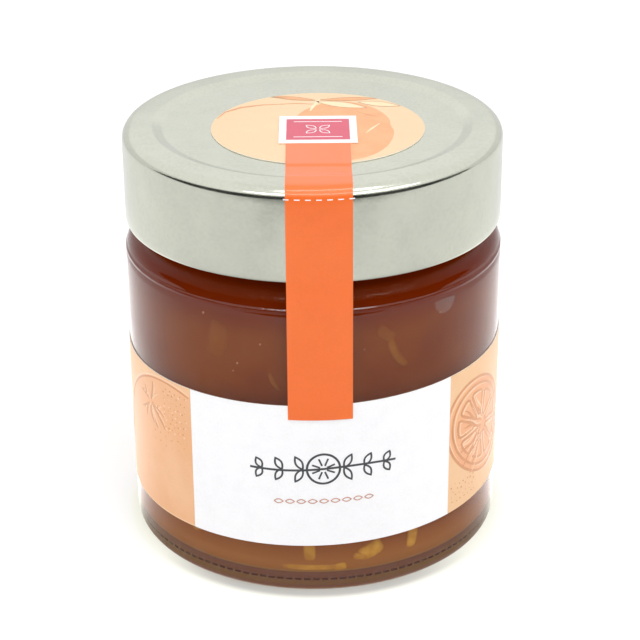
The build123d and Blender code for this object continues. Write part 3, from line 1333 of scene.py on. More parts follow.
@dataclass
class Marmalade:
    """The filling, with its peel and the air caught against the glass."""

    jar: GlassJar
    reach: float = 0.15 * MM
    show: float = 0.14 * MM
    shred_thickness: float = 1.6 * MM
    bubble_azimuth: float = 43.2
    bubble_height: float = 57.0 * MM
    bubble_size: tuple[float, float] = (2.5 * MM, 2.6 * MM)
    bubble_cut: float = 0.3 * MM
    bubble_edge: float = 0.35 * MM
    bubble_depth: float = 0.55 * MM
    bubble_slope: float = -2.0
    edge_dip: float = 0.6 * MM
    top_dip: float = 0.5 * MM
    segments: int = 480
    # dark dashes at the foot: painted shade seen through the knurl
    mark_count: int = 133
    mark_height: float = 3.2 * MM
    mark_depth: float = 0.35 * MM
    mark_size: tuple[float, float, float] = (1.2 * MM, 0.42 * MM, 0.08 * MM)
    # tiny bubbles as pale specks: a painted glint
    specks: tuple[tuple[float, float, float], ...] = (
        (-34.9, 56.4 * MM, 0.45 * MM),
        (-16.2, 52.1 * MM, 0.34 * MM),
        (-23.6, 47.6 * MM, 0.4 * MM),
        (-25.0, 45.9 * MM, 0.3 * MM),
        (40.8, 55.2 * MM, 0.34 * MM),
        (-6.0, 44.0 * MM, 0.26 * MM),
        (15.0, 51.0 * MM, 0.26 * MM),
    )
    shreds: tuple[Shred, ...] = (
        Shred(-1.5, 4.9 * MM, 12.4 * MM, 1.7 * MM, -1.0, 0.72, 0.2 * MM),
        Shred(7.6, 4.9 * MM, 2.8 * MM, 2.3 * MM, 8.0, 0.85),
        Shred(-2.0, 9.2 * MM, 5.8 * MM, 2.6 * MM, 92.0, 0.7),
        Shred(17.6, 8.0 * MM, 5.4 * MM, 3.7 * MM, 26.0, 1.0, 0.4 * MM),
        Shred(14.2, 6.9 * MM, 3.4 * MM, 1.8 * MM, -12.0, 0.6),
        Shred(31.8, 9.4 * MM, 6.6 * MM, 2.5 * MM, 84.0, 0.9, 0.3 * MM),
        Shred(25.0, 49.0 * MM, 8.0 * MM, 1.8 * MM, -62.0, 0.22, 0.9 * MM),
        Shred(21.5, 53.4 * MM, 4.5 * MM, 2.6 * MM, -40.0, 0.13, 0.6 * MM),
        Shred(-12.5, 44.6 * MM, 4.6 * MM, 1.2 * MM, -62.0, 0.14, 0.6 * MM),
        Shred(-30.0, 51.5 * MM, 8.5 * MM, 4.5 * MM, 75.0, 0.10, 0.6 * MM),
        Shred(-40.0, 9.5 * MM, 3.0 * MM, 1.5 * MM, 35.0, 0.35, 0.3 * MM),
        Shred(46.0, 12.0 * MM, 3.6 * MM, 1.6 * MM, 60.0, 0.35, 0.3 * MM),
    )

    beds: tuple[Field, ...] = (
        Field((64, 296), (8 * MM, 11 * MM), (-1.4, 1.4), 16, 0.4),
        Field((70, 290), (12 * MM, 57 * MM), (-1.4, 1.4), 34, 0.4),
        Field((-60, 60), (14 * MM, 38 * MM), (-1.4, 1.4), 10, 0.4),
    )
    bed_shred: Point = (6.5 * MM, 1.9 * MM)
    bed_bend: float = 2.2 * MM
    hidden_show: float = 0.6
    speck_field: Field = Field((58, 302), (14 * MM, 58 * MM), (-1.5, 1.5), 26, 0.4)
    speck_size: tuple[float, float, float] = (0.42 * MM, 0.32 * MM, 0.42 * MM)

    def __post_init__(self) -> None:
        """Draws the wall that the gel follows and reads its level from the frame."""
        self.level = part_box("marmalade")[1].z
        outline = self.jar.inner_wall(self.reach, self.bubble_height - 3.5 * MM)
        outline.line(self.jar.bore + self.reach, self.level - self.edge_dip, 6)
        self.wall = outline.points

    def lay(self, x: float, y: float, lift: float) -> Vector:
        """Place on the gel's wall.

        Args:
            x: distance round the jar from its front, towards +X.
            y: height on the jar.
            lift: height above the gel's skin, outwards.

        Returns:
            The point.
        """
        wall = self.wall
        k = next((i for i in range(1, len(wall)) if wall[i][1] >= y), len(wall) - 1)
        a, b = Vector(wall[k - 1]), Vector(wall[k])
        share = min(max((y - a.y) / max(b.y - a.y, 1e-9), 0.0), 1.0)
        way = (b - a).normalized()
        spot = a.lerp(b, share) + Vector((way.y, -way.x)) * lift
        turn = x / self.jar.cavity
        return Vector((spot.x * math.sin(turn), -spot.x * math.cos(turn), spot.y))

    def gel(self, finish: bpy.types.Material) -> bpy.types.Object:
        """Turns the gel and presses the bubble into it."""
        jar = self.jar
        edge, low = self.wall[0]
        floor = [(edge * i / 12, low + jar.crown * (1 - (i / 12) ** 2)) for i in range(12)]
        rim = self.wall[-1][0]
        shares = (0.0, 0.02, 0.05, 0.1, 0.2, 0.4, 0.7, 1.0)
        top = [(rim * (1 - t), self.level - self.top_dip * (1 - (1 - t) ** 6)) for t in shares]
        gel = turned_piece("marmalade_gel", floor + self.wall + top, self.segments)
        middle = self.lay(math.radians(self.bubble_azimuth) * jar.cavity, self.bubble_height, 0.0)
        outward = Vector((middle.x, middle.y, 0.0)).normalized()
        across = Vector((-outward.y, outward.x, 0.0))
        slope = math.radians(self.bubble_slope)
        for vertex in gel.data.vertices:
            away = vertex.co - middle
            if away.length > 2 * self.bubble_size[0]:
                continue
            u, v = away.dot(across), away.z
            cut = (v * math.cos(slope) - u * math.sin(slope)) - self.bubble_cut
            off = (u / self.bubble_size[0]) ** 2 + (v / self.bubble_size[1]) ** 2
            inside = min(1 - off, -cut / self.bubble_edge)
            if inside > 0:
                vertex.co -= outward * (self.bubble_depth * min(inside * 2.2, 1.0) ** 0.5)
        return dressed(soften(gel, 50.0), finish)

    def peel(self, finish: bpy.types.Material) -> bpy.types.Object:
        """Grows the peel: the pieces that show from the front one by one, the rest by chance."""
        growth = shred_growth()
        pieces = []
        for number, shred in enumerate(self.shreds):
            size = (shred.length, shred.width, self.shred_thickness)
            field = Field((shred.azimuth,) * 2, (shred.height,) * 2, (math.radians(shred.turn),) * 2)
            piece = field.fill(growth, f"shred_{number}", finish, self, size, number, shred.bend * 4)
            pieces.append(self._bedded(piece, shred.show))
        for number, field in enumerate(self.beds):
            size = (*self.bed_shred, self.shred_thickness)
            piece = field.fill(growth, f"bed_{number}", finish, self, size, 20 + number, self.bed_bend)
            pieces.append(self._bedded(piece, self.hidden_show))
        return joined(pieces, "peel_shreds")

    def bubbles(self, finish: bpy.types.Material) -> bpy.types.Object:
        """Sets the tiny bubbles against the glass, pale as a painted glint: the ones in front one by one, the rest
        by chance.
        """
        growth = shred_growth()
        pieces = []
        for number, (azimuth, height, size) in enumerate(self.specks):
            field = Field((azimuth,) * 2, (height,) * 2, (1.2, 1.2))
            piece = field.fill(growth, f"speck_{number}", finish, self, (size, size * 0.8, size), number)
            pieces.append(self._bedded(piece, 0.8))
        rest = self.speck_field.fill(growth, "speck_rest", finish, self, self.speck_size, 61)
        pieces.append(self._bedded(rest, self.hidden_show))
        return joined(pieces, "gel_bubbles")

    def marks(self, finish: bpy.types.Material) -> bpy.types.Object:
        """Sets a ring of dark dashes just inside the foot of the glass: painted shade that stands in for the dark
        seen through the knurl.
        """
        ring = self.jar.radius - self.mark_depth
        row = dash_growth().grow(
            "knurl_shade_dashes", finish, Count=self.mark_count, Pitch=math.tau * ring / self.mark_count,
            Length=self.mark_size[0], Width=self.mark_size[1], Ink_Height=self.mark_size[2],
        )

        def lay(x: float, y: float, lift: float) -> Vector:
            """Place on the ring of a flat point (x, y, lift)."""
            away, turn = ring + lift, x / ring
            return Vector((away * math.sin(turn), -away * math.cos(turn), self.mark_height + y))

        return laid(row, lay)

    def _bedded(self, piece: bpy.types.Object, show: float) -> bpy.types.Object:
        """Lays peel on the gel's wall and marks how clearly each point of it shows."""
        heights = [v.co.z for v in piece.data.vertices]
        laid(piece, self.lay)
        mark = piece.data.attributes.new("crown", "FLOAT", "POINT")
        for i, height in enumerate(heights):
            mark.data[i].value = show * min(max(height / self.show, 0.0), 1.0) ** 0.8
        return piece

    def build(self) -> list[bpy.types.Object]:
        """Makes the gel and its peel and returns them."""
        zest = Gel("candied_peel", peel=(0.36, 0.18, 0.026), peel_second=(0.27, 0.115, 0.014))
        # painted glint: the tiny bubbles are opaque pale specks, given as peel colours
        glint = Gel("bubble_glint", peel=(0.46, 0.27, 0.17), peel_second=(0.38, 0.2, 0.12))
        # painted shade: near-black gel without glow for the dashes at the foot
        dark = dict.fromkeys(("body", "warm", "foot", "under", "rim"), (0.05, 0.018, 0.016))
        shade = Gel("knurl_shade", glow=0.0, painted_foot_glow=0.0, painted_under_glow=0.0, **dark)
        gel = placed(self.gel(Gel("amber_gel").make()), "marmalade", "marmalade")
        held = [self.peel(zest.make()), self.bubbles(glint.make()), self.marks(shade.make())]
        return [gel] + [placed(piece, "marmalade") for piece in held]


# ---- the lid


@dataclass
class TwistLid:
    """Deep tinplate lid: sunken panel, raised ring, straight skirt and rolled hem."""

    jar: GlassJar
    sheet: float = 0.3 * MM
    edge_bend: float = 2.0 * MM
    panel_depth: float = 0.6 * MM
    step_width: float = 1.9 * MM
    ring_fall: float = 0.13 * MM
    panel_clearance: float = 0.5 * MM
    hem_depth: float = 1.5 * MM
    hem_rise: float = 1.4 * MM
    hem_bend: float = 0.6 * MM
    hem_drop: float = 0.55 * MM
    panel_bend: float = 0.8 * MM
    ring_bend: float = 0.6 * MM
    facet: float = 1.2 * MM
    segments: int = 288

    def __post_init__(self) -> None:
        """Reads the overall sizes from the frame."""
        low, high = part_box("lid")
        self.radius = (high.x - low.x) / 2
        self.top = high.z
        self.hem = low.z - self.hem_drop
        self.ring = self.jar.bore - self.panel_clearance
        self.panel = self.top - self.panel_depth

    def build(self) -> bpy.types.Object:
        """Turns the sheet and returns the piece."""
        hem_r = self.radius - self.hem_depth
        corners = [
            (0.0, self.panel),
            (self.ring - self.step_width, self.panel),
            (self.ring, self.top),
            (self.radius, self.top - self.ring_fall),
            (self.radius, self.hem),
            (hem_r, self.hem),
            (hem_r, self.hem + self.hem_rise),
        ]
        bends = [self.panel_bend, self.ring_bend, self.edge_bend, self.hem_bend, self.hem_bend]
        face = rounded(corners, bends, 12)
        outline = Outline(*face[0])
        for a, b in zip(face, face[1:]):
            outline.line(*b, max(1, round(math.dist(a, b) / self.facet)))
        fine = outline.points
        back = beside(fine, -self.sheet)
        back[0] = (0.0, back[0][1])
        lid = turned_piece("twist_lid", fine + back[::-1], self.segments)
        return placed(dressed(lid, Tinplate().make()), "tinplate", "lid")


# ---- the paper


@dataclass
class WrapLabel:
    """Paper band round the body: a white panel in front and printed fruit on both sides."""

    paper: float = 0.15 * MM
    ink: float = 0.02 * MM
    height: float = 29.85 * MM
    turn: float = 2.4
    skew: float = 1.3
    gap: float = 9.0 * MM
    wave: float = 0.012 * MM
    wave_room: float = 0.015 * MM
    panel_half: float = 41.6
    wheel_azimuth: float = 61.0
    wheel_height: float = 27.0 * MM
    wheel_radius: float = 9.4 * MM
    wheel_slant: float = -38.0
    fruit_azimuth: float = -50.3
    fruit_height: float = 19.8 * MM
    fruit_radius: float = 19.9 * MM
    folds: tuple[Point, ...] = (
        (-70, 4.4), (-42, 6.8), (-58, 5.6), (-22, 5.2), (8, 3.6), (40, 3.3),
        (80, 4.8), (125, 3.4), (170, 4.2), (-150, 4.6), (-110, 4.2),
    )

    def __post_init__(self) -> None:
        """Reads the overall sizes from the frame."""
        low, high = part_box("label")
        self.radius = (high.x - low.x) / 2
        self.middle = (high.z + low.z) / 2
        self.edge = self.radius * math.radians(self.panel_half)

    def lay(self, x: float, y: float, lift: float) -> Vector:
        """Place on the label.

        Args:
            x: distance along the label from its middle, towards +X.
            y: height above its middle line.
            lift: height above its face.

        Returns:
            The point.
        """
        own = x / self.radius
        turn = own + math.radians(self.turn)
        wave = self.wave * noise.noise(Vector((math.sin(own) * 6, math.cos(own) * 6, y / (9 * MM))))
        radius = self.radius - self.wave_room + wave + lift
        return Vector((radius * math.sin(turn), -radius * math.cos(turn), self.middle + y + self.rise(own)))

    def rise(self, own: float) -> float:
        """How much higher the askew label lies, at an angle from its own middle, in radians."""
        return math.tan(math.radians(self.skew)) * self.radius * math.sin(own)

    def spot(self, azimuth: float, height: float) -> Point:
        """Flat place on the label of a point of the jar.

        Args:
            azimuth: degrees from the front, towards +X.
            height: height on the jar.

        Returns:
            Its (x, y) on the flat label.
        """
        own = math.radians(azimuth - self.turn)
        return own * self.radius, height - self.middle - self.rise(own)

    def band(self, finishes: Sequence[bpy.types.Material]) -> bpy.types.Object:
        """Cuts the band: white in the middle, peach beyond, its paper bare at the edges."""
        end = self.radius * (math.pi - math.asin(self.gap / 2 / self.radius))
        side = self.edge
        top = self.height / 2 / math.cos(math.radians(self.skew))
        rows = [top * (2 * i / 24 - 1) for i in range(25)]
        sheet = Sheet()
        for left, right, cuts, finish in ((-end, -side, 70, 1), (-side, side, 56, 0), (side, end, 70, 1)):
            sheet.grid(between(left, right, cuts), rows, finish)
        return dressed(laid(sheet.build("wrap_label", self.paper, 2), self.lay), *finishes)

    def ornament(self) -> Sheet:
        """A plain sprig in thin lines, with a short chain of leaves under it."""
        art = Sheet()
        hub = Vector(self.spot(2.4, 27.6 * MM))
        thin = 0.42 * MM
        bar = [(hub.x + t * 14.0 * MM, hub.y + 0.25 * MM * math.sin(3 * t)) for t in between(-1.0, 1.0, 48)]
        art.stroke(bar, thin)
        art.stroke(oval(hub, 3.1 * MM, 3.1 * MM, between(0.0, math.tau, 48)), thin)
        for turn in circle(8):
            way = towards(turn + math.tau / 16)
            art.stroke([tuple(hub + way * r * MM) for r in (0.7, 1.5, 2.3)], thin * 0.8)
        for k in (-3, -2, -1, 1, 2, 3):
            foot = Vector((hub.x + k * 3.9 * MM, hub.y))
            for up in (1, -1):
                turn = math.radians(62 if k > 0 else 118) * up
                art.stroke(leaf(foot, turn, (3.3 - 0.35 * abs(k)) * MM, 0.62 * MM), thin * 0.85)
        hub = Vector(self.spot(2.5, 20.7 * MM))
        for k in range(-4, 5):
            foot = hub + Vector((k * 2.15 * MM - 0.85 * MM, 0.0))
            art.stroke(leaf(foot, 0.0, 1.7 * MM, 0.42 * MM), 0.2 * MM, 1)
        return art

    def tones(self) -> Sheet:
        """The fields of colour under the lines: the big fruit on the left and the slice on the right."""
        art = Sheet()
        edge = self.edge + 0.05 * MM
        top = self.height / 2 - 0.35 * MM
        middle = self.spot(self.fruit_azimuth, self.fruit_height)
        fruit = oval(middle, self.fruit_radius, self.fruit_radius, circle(120))
        art.patch([(min(x, -edge), max(y, -top)) for x, y in fruit], 0, 8)
        hub = Vector(self.spot(self.wheel_azimuth, self.wheel_height))
        along = towards(math.radians(self.wheel_slant))
        flat = oval((0.0, 0.0), 13.0 * MM, self.wheel_radius, circle(120))
        slanted = [hub + along * x + leftward(along) * y for x, y in flat]
        art.patch([(max(point.x, edge), point.y) for point in slanted], 1, 6)
        return art

    def fruit(self) -> Sheet:
        """Lines of the big fruit: its outline, and a star of folds round its stem end."""
        art = Sheet()
        middle = self.spot(self.fruit_azimuth, self.fruit_height)
        line = 0.36 * MM
        edge, top = self.edge + 0.2 * MM, self.height / 2 - 0.4 * MM
        for grow, ink in ((1.0, 3), (0.975, 2)):
            radius = self.fruit_radius * grow
            rim = oval(middle, radius, radius, [math.radians(a) for a in range(20, 186, 2)])
            art.stroke([(x, y) for x, y in rim if x < -edge and abs(y) < top], line, ink)
        hub = Vector(self.spot(-59.2, 33.0 * MM))
        for k, (turn, length) in enumerate(self.folds):
            way = towards(math.radians(turn))
            side = leftward(way) * (0.6 * MM if k % 2 else -0.6 * MM)
            fold = [hub + way * length * MM * t + side * math.sin(t * 2.6) for t in (0.14, 0.3, 0.5, 0.75, 1.0)]
            art.stroke([tuple(point) for point in fold], line * 2.2, 2, taper=True)
            light = [tuple(point + Vector((0.62 * MM, 0.12 * MM))) for point in fold]
            art.stroke(light, line * 1.4, 3, taper=True)
        return art

    def pulp(self) -> Sheet:
        """Wavy strokes from the slice's hub to its pith, close together on its shaded side."""
        art = Sheet()
        hub = Vector(self.spot(64.2, 26.05 * MM))
        for k in range(15):
            way = towards(math.radians(118 + k * 8.6))
            side = leftward(way) * 0.3 * MM
            reach = (9.6 + 1.1 * math.sin(k * 2.4)) * MM
            points = [hub + way * reach * t + side * math.sin(t * 9 + k) for t in between(0.2, 1.0, 9)]
            kept = [tuple(p) for p in points if p.x > self.edge + 0.25 * MM]
            if len(kept) > 2:
                art.stroke(kept, (0.55 if k % 2 else 0.42) * MM, 2 if k % 2 else 3, taper=True)
        return art

    def prints(self) -> list[bpy.types.Object]:
        """Prints everything on the label and returns the pieces, each laid on the paper."""
        inks = [Ink.CHARCOAL.make(), Ink.TERRACOTTA.make(), Ink.RUST_LINE.make(), Ink.PALE_LINE.make()]
        dark, light = inks[2:]
        fields = (
            Paper("fruit_field", (0.82, 0.43, 0.215), (0.85, 0.50, 0.29), drift_size=80.0),
            Paper("slice_field", (0.835, 0.44, 0.225), (0.825, 0.405, 0.215), drift_size=110.0),
        )
        tones = dressed(self.tones().build("colour_fields", self.ink * 0.6), *(field.make() for field in fields))
        laid(tones, lambda x, y, z: self.lay(x, y, z + self.ink * 0.8))
        arts = {"ornament": self.ornament(), "fruit_lines": self.fruit(), "pulp_lines": self.pulp()}
        drawn = [dressed(art.build(name, self.ink), *inks) for name, art in arts.items()]
        wheel = wheel_growth()
        x, y = self.spot(self.wheel_azimuth, self.wheel_height)
        for name, ink, line, offset in (
            ("wheel_lines", dark, 0.55 * MM, (0.0, 0.0, 0.0)),
            ("wheel_lights", light, 0.4 * MM, (0.55 * MM, -0.42 * MM, -0.004 * MM)),
        ):
            lines = wheel.grow(
                name, ink, Segments=9, Radius=self.wheel_radius, Stretch=1.38, Slant=math.radians(self.wheel_slant),
                Turn=0.2, Line_Width=line, Ink_Height=self.ink,
            )
            self._shifted(lines, x + offset[0], y + offset[1], -self.ink / 2 + offset[2])
            drawn.append(self._cropped(lines, self.edge + 0.15 * MM))
        stipple = stipple_growth()
        plots = (
            ("pores_left", -46.6, 33.6, 6.6, 8.6, 1.0, 0.24, dark),
            ("pores_left_light", -46.2, 33.3, 6.6, 8.6, 1.2, 0.24, light),
            ("pores_low", -50.0, 27.0, 10.0, 3.6, 1.7, 0.2, dark),
            ("pores_right", 51.5, 15.6, 8.0, 4.6, 1.0, 0.2, dark),
            ("pores_right_light", 51.8, 15.3, 8.0, 4.6, 1.2, 0.2, light),
        )
        for number, (name, azimuth, height, across, tall, spacing, dot, ink) in enumerate(plots):
            dots = stipple.grow(
                name, ink, Width=across * MM, Height=tall * MM, Spacing=spacing * MM, Dot=dot * MM,
                Ink_Height=self.ink, Seed=number + 3,
            )
            x, y = self.spot(azimuth, height * MM)
            drawn.append(self._shifted(dots, x, y, -self.ink / 2))
        return [tones] + [laid(piece, lambda x, y, z: self.lay(x, y, z + self.ink * 1.9)) for piece in drawn]

    @staticmethod
    def _shifted(piece: bpy.types.Object, x: float, y: float, z: float) -> bpy.types.Object:
        """Moves a flat mesh."""
        piece.data.transform(Matrix.Translation((x, y, z)))
        return piece

    @staticmethod
    def _cropped(piece: bpy.types.Object, left: float) -> bpy.types.Object:
        """Cuts a flat mesh off at the white panel and closes the cut."""
        bm = bmesh.new()
        bm.from_mesh(piece.data)
        whole = bm.verts[:] + bm.edges[:] + bm.faces[:]
        plane = {"plane_co": (left, 0, 0), "plane_no": (-1, 0, 0)}
        cut = bmesh.ops.bisect_plane(bm, geom=whole, clear_outer=True, **plane)
        rims = [e for e in cut["geom_cut"] if isinstance(e, bmesh.types.BMEdge)]
        bmesh.ops.holes_fill(bm, edges=rims)
        bm.to_mesh(piece.data)
        bm.free()
        return piece

    def build(self) -> list[bpy.types.Object]:
        """Makes the label and its print and returns the pieces."""
        white = Paper("white_panel", (0.93, 0.925, 0.94), (0.915, 0.91, 0.925))
        peach = Paper("peach_panel", (0.84, 0.515, 0.275), (0.86, 0.555, 0.325), drift_size=60.0)
        core = Paper("label_core", (0.88, 0.85, 0.80), (0.82, 0.79, 0.74), gloss=0.0)
        band = self.band([white.make(), peach.make(), core.make()])
        made = [placed(band, "label_paper", "label")]
        return made + [placed(piece, "label_paper") for piece in self.prints()]


def leaf(foot: Vector, turn: float, length: float, half: float) -> list[Point]:
    """Outline of a pointed leaf.

    Args:
        foot: its foot.
        turn: its direction, in radians.
        length: its length.
        half: half its width.

    Returns:
        The outline's points, closed.
    """
    way = towards(turn)
    side = leftward(way)
    steps = [i / 10 for i in range(11)]
    there = [foot + way * length * t - side * half * math.sin(math.pi * t) ** 0.9 for t in steps]
    back = [foot + way * length * t + side * half * math.sin(math.pi * t) ** 0.9 for t in steps[-2::-1]]
    return [tuple(p) for p in there + back]


@dataclass
class LidSticker:
    """Round peach sticker printed with plain fruit."""

    offset: Point = (1.05 * MM, -2.4 * MM)
    paper: float = 0.15 * MM
    ink: float = 0.02 * MM
    border: float = 0.25 * MM

    def __post_init__(self) -> None:
        """Reads the overall sizes from the frame."""
        low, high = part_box("lid_sticker")
        self.radius = (high.x - low.x) / 2
        self.top = high.z

    def lay(self, x: float, y: float, lift: float) -> Vector:
        """Place on the sticker of a flat point (x, y, lift)."""
        return Vector((x, y, self.top + lift))

    def clipped(self, outline: Sequence[Point]) -> list[Point]:
        """An outline kept inside the sticker's edge."""
        centre = Vector(self.offset)
        kept = []
        for point in outline:
            off = Vector(point) - centre
            if off.length > self.radius - self.border:
                off = off.normalized() * (self.radius - self.border)
            kept.append(tuple(centre + off))
        return kept

    def art(self) -> Sheet:
        """The whole fruit: an oval with a slight dent."""
        sheet = Sheet()
        outline = []
        for t in circle(72):
            across = 9.9 * (1 - 0.05 * math.exp(-((t - 0.15) / 0.12) ** 2))
            outline.append(((5.6 + across * math.cos(t)) * MM, (-4.2 + 16.6 * math.sin(t)) * MM))
        sheet.patch(self.clipped(outline), 0, 6)
        return sheet

    def lines(self) -> Sheet:
        """The lines and leaves that lie over the fruit."""
        sheet = Sheet()
        rim = []
        for turn, radius in ((88, 15.4), (104, 15.5), (120, 15.7), (136, 16.0), (152, 16.6)):
            t = math.radians(turn)
            rim.append(((-6.0 + radius * math.cos(t)) * MM, (-4.2 + radius * math.sin(t)) * MM))
        sheet.stroke(self.clipped(rim), 0.55 * MM, 1, taper=True)
        fold = ((-6.4, 11.2), (-3.0, 11.6), (0.4, 11.0))
        stalk = ((1.6, 14.2), (0.9, 12.0), (0.1, 9.4), (-0.4, 6.9))
        for points, width, ink in ((fold, 0.44 * MM, 1), (stalk, 0.8 * MM, 2)):
            sheet.stroke([(x * MM, y * MM) for x, y in points], width, ink, taper=True)
        for foot, turn, length, half, ink in (
            ((0.8, 12.6), -22, 10.6, 1.5, 2),
            ((1.5, 13.6), 4, 11.5, 1.0, 0),
            ((9.0, 12.2), -18, 8.6, 1.3, 2),
            ((0.6, 13.4), 163, 9.5, 0.9, 0),
        ):
            outline = leaf(Vector(foot) * MM, math.radians(turn), length * MM, half * MM)
            sheet.patch(self.clipped(outline[:-1]), ink, 2)
            sheet.stroke(self.clipped(outline), 0.16 * MM, 1)
        light = ((10.2, -5.9), (11.4, -3.4), (12.9, -0.6))
        crease = ((8.6, 6.4), (10.6, 4.6), (12.4, 3.4))
        for points, width, ink in ((light, 0.5 * MM, 2), (crease, 0.4 * MM, 1)):
            sheet.stroke([(x * MM, y * MM) for x, y in points], width, ink, taper=True)
        return sheet

    def build(self) -> list[bpy.types.Object]:
        """Makes the sticker and its print and returns the pieces."""
        ground = Paper("sticker_peach", (0.80, 0.585, 0.36), (0.82, 0.62, 0.40), drift_size=45.0)
        core = Paper("sticker_core", (0.90, 0.86, 0.78), (0.84, 0.80, 0.72), gloss=0.0)
        sheet = Sheet()
        sheet.patch(oval(self.offset, self.radius, self.radius, circle(144)), 0, 8)
        disc = laid(dressed(sheet.build("lid_round", self.paper, 1), ground.make(), core.make()), self.lay)
        light = Paper("leaf_light", (0.95, 0.76, 0.50), (0.94, 0.70, 0.44))
        inks = [Ink.FRUIT.make(), Ink.FRUIT_SHADE.make(), light.make()]
        made = [placed(disc, "sticker_paper", "lid_sticker")]
        for name, art, lift in (("round_fruit", self.art(), 0.9), ("round_leaves", self.lines(), 1.6)):
            piece = dressed(art.build(name, self.ink), *inks)
            laid(piece, lambda x, y, z, k=lift: self.lay(x, y, z + self.ink * k))
            made.append(placed(piece, "sticker_paper"))
        return made


@dataclass
class SealStrip:
    """Orange paper strip with a square head, stuck over the lid's edge down to the label."""

    lid: TwistLid
    label: WrapLabel
    sticker: LidSticker
    paper: float = 0.15 * MM
    glue: float = 0.05 * MM
    ink: float = 0.02 * MM
    width: float = 12.0 * MM
    x: float = 1.05 * MM
    overlap: float = 2.9 * MM
    lift: float = 0.2 * MM
    ramp: float = 3.4 * MM
    step: float = 1.0 * MM
    shoulder_height: float = 60.19 * MM
    rise: Point = (5.0 * MM, 0.6 * MM)
    flat_until: float = 28.0 * MM
    round_from: float = 34.0 * MM
    border: float = 1.4 * MM
    head_length: float = 15.4 * MM
    head_y: float = -4.3 * MM
    bend: float = 3.0 * MM
    row_length: float = 1.5 * MM
    field_size: Point = (12.0 * MM, 11.7 * MM)
    dash_drop: float = 1.9 * MM

    def __post_init__(self) -> None:
        """Draws the section that the strip follows."""
        lid, label, jar = self.lid, self.label, self.lid.jar
        body = jar.radius + self.glue
        on_label = label.radius + self.glue
        label_top = label.middle + label.height / 2
        self.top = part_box("lid_sticker")[1].z + self.glue
        edge = -self.sticker.offset[1] + self.sticker.radius + 2 * self.glue
        skirt = lid.radius + self.glue
        foot = label_top - self.overlap
        corners = [
            (-(self.head_y - self.head_length / 2), self.top),
            (edge, self.top),
            (edge + self.step, lid.panel + self.glue),
            (lid.ring - self.ramp, lid.panel + self.glue),
            (lid.ring, lid.top + self.glue + self.lift),
            (skirt, lid.top + self.glue),
            (skirt, lid.hem + lid.hem_bend),
            (body, self.shoulder_height - self.glue),
            (body, label_top + self.rise[0]),
            (on_label, label_top + self.rise[1]),
            (on_label, foot),
        ]
        bends = [self.bend] * 4 + [lid.edge_bend + self.glue] + [self.bend] * 4
        self.run = beside(rounded(corners, bends, 10), self.paper)
        self.lengths = [0.0]
        for a, b in zip(self.run, self.run[1:]):
            self.lengths.append(self.lengths[-1] + math.dist(a, b))

    def lay(self, x: float, y: float, lift: float) -> Vector:
        """Place on the strip.

        Args:
            x: place across the jar.
            y: distance along the strip from the lower edge of its head. On the head it is less than 0.
            lift: height above the paper's face.

        Returns:
            The point.
        """
        if y <= 0:
            return Vector((x, self.head_y - self.head_length / 2 - y, self.run[0][1] + lift))
        k = next((i for i in range(1, len(self.lengths)) if self.lengths[i] >= y), len(self.lengths) - 1)
        a, b = Vector(self.run[k - 1]), Vector(self.run[k])
        share = (y - self.lengths[k - 1]) / (self.lengths[k] - self.lengths[k - 1])
        way = (b - a).normalized()
        spot = a.lerp(b, min(share, 1.0)) + Vector((-way.y, way.x)) * lift
        bent = min(max((spot.x - self.flat_until) / (self.round_from - self.flat_until), 0.0), 1.0)
        round_y = -math.sqrt(spot.x**2 - x**2)
        straight_y = -spot.x
        return Vector((x, straight_y + (round_y - straight_y) * bent, spot.y))

    def build(self) -> list[bpy.types.Object]:
        """Makes the strip, its printed head and its perforation, and returns the pieces."""
        left, right = self.x - self.width / 2, self.x + self.width / 2
        columns = between(left, right, 16)
        wide = [left - self.border, *columns, right + self.border]
        sheet = Sheet()
        sheet.grid(wide, between(-self.head_length, 0.0, 10), 1)
        rows = [0.0]
        for a, b in zip(self.lengths, self.lengths[1:]):
            rows += between(a, b, max(1, math.ceil((b - a) / self.row_length)))[1:]
        sheet.grid(columns, rows, 0)
        orange = Paper("strip_orange", (0.89, 0.142, 0.001), (0.91, 0.158, 0.005), gloss=0.8)
        head = Paper("head_white", (0.92, 0.92, 0.93), (0.90, 0.90, 0.91))
        core = Paper("strip_core", (0.93, 0.62, 0.42), (0.9, 0.55, 0.36), gloss=0.0)
        paper = dressed(sheet.build("paper_strip", self.paper, 2), orange.make(), head.make(), core.make())
        paper = self._stuck(paper)
        white = Ink.WHITE.make()
        field = dressed(self._field().build("head_field", self.ink), Ink.CRIMSON.make())
        marks = dressed(self._marks().build("head_marks", self.ink), white)
        dashes = dash_growth().grow(
            "perforation", white, Count=7, Pitch=1.95 * MM, Length=1.0 * MM, Width=0.2 * MM,
            Ink_Height=self.ink,
        )
        edge = next(s for s, p in zip(self.lengths, self.run) if p[1] < self.lid.top - self.dash_drop)
        inks = [self._stuck(field, 0.9), self._stuck(marks, 1.7), self._stuck(dashes, 0.4, (self.x, edge))]
        made = [placed(paper, "strip_paper", "seal_strip")]
        return made + [placed(piece, "strip_paper") for piece in inks]

    def _field(self) -> Sheet:
        """The field of colour on the head."""
        art = Sheet()
        across, along = self.field_size[0] / 2, self.field_size[1] / 2
        middle = -self.head_length / 2
        art.grid(between(self.x - across, self.x + across, 8), between(middle - along, middle + along, 8))
        return art

    def _marks(self) -> Sheet:
        """Four leaf loops and two rules on the field."""
        art = Sheet()
        middle = Vector((self.x, -self.head_length / 2))
        for k in range(4):
            turn = math.radians(45 + 90 * k)
            art.stroke(leaf(middle + towards(turn) * 0.5 * MM, turn, 2.6 * MM, 0.7 * MM), 0.2 * MM)
        for side in (-1, 1):
            ends = [(side_x * 4.6 * MM, side * 4.3 * MM) for side_x in (-1, 1)]
            art.stroke([(middle.x + x, middle.y + y) for x, y in ends], 0.28 * MM)
        return art

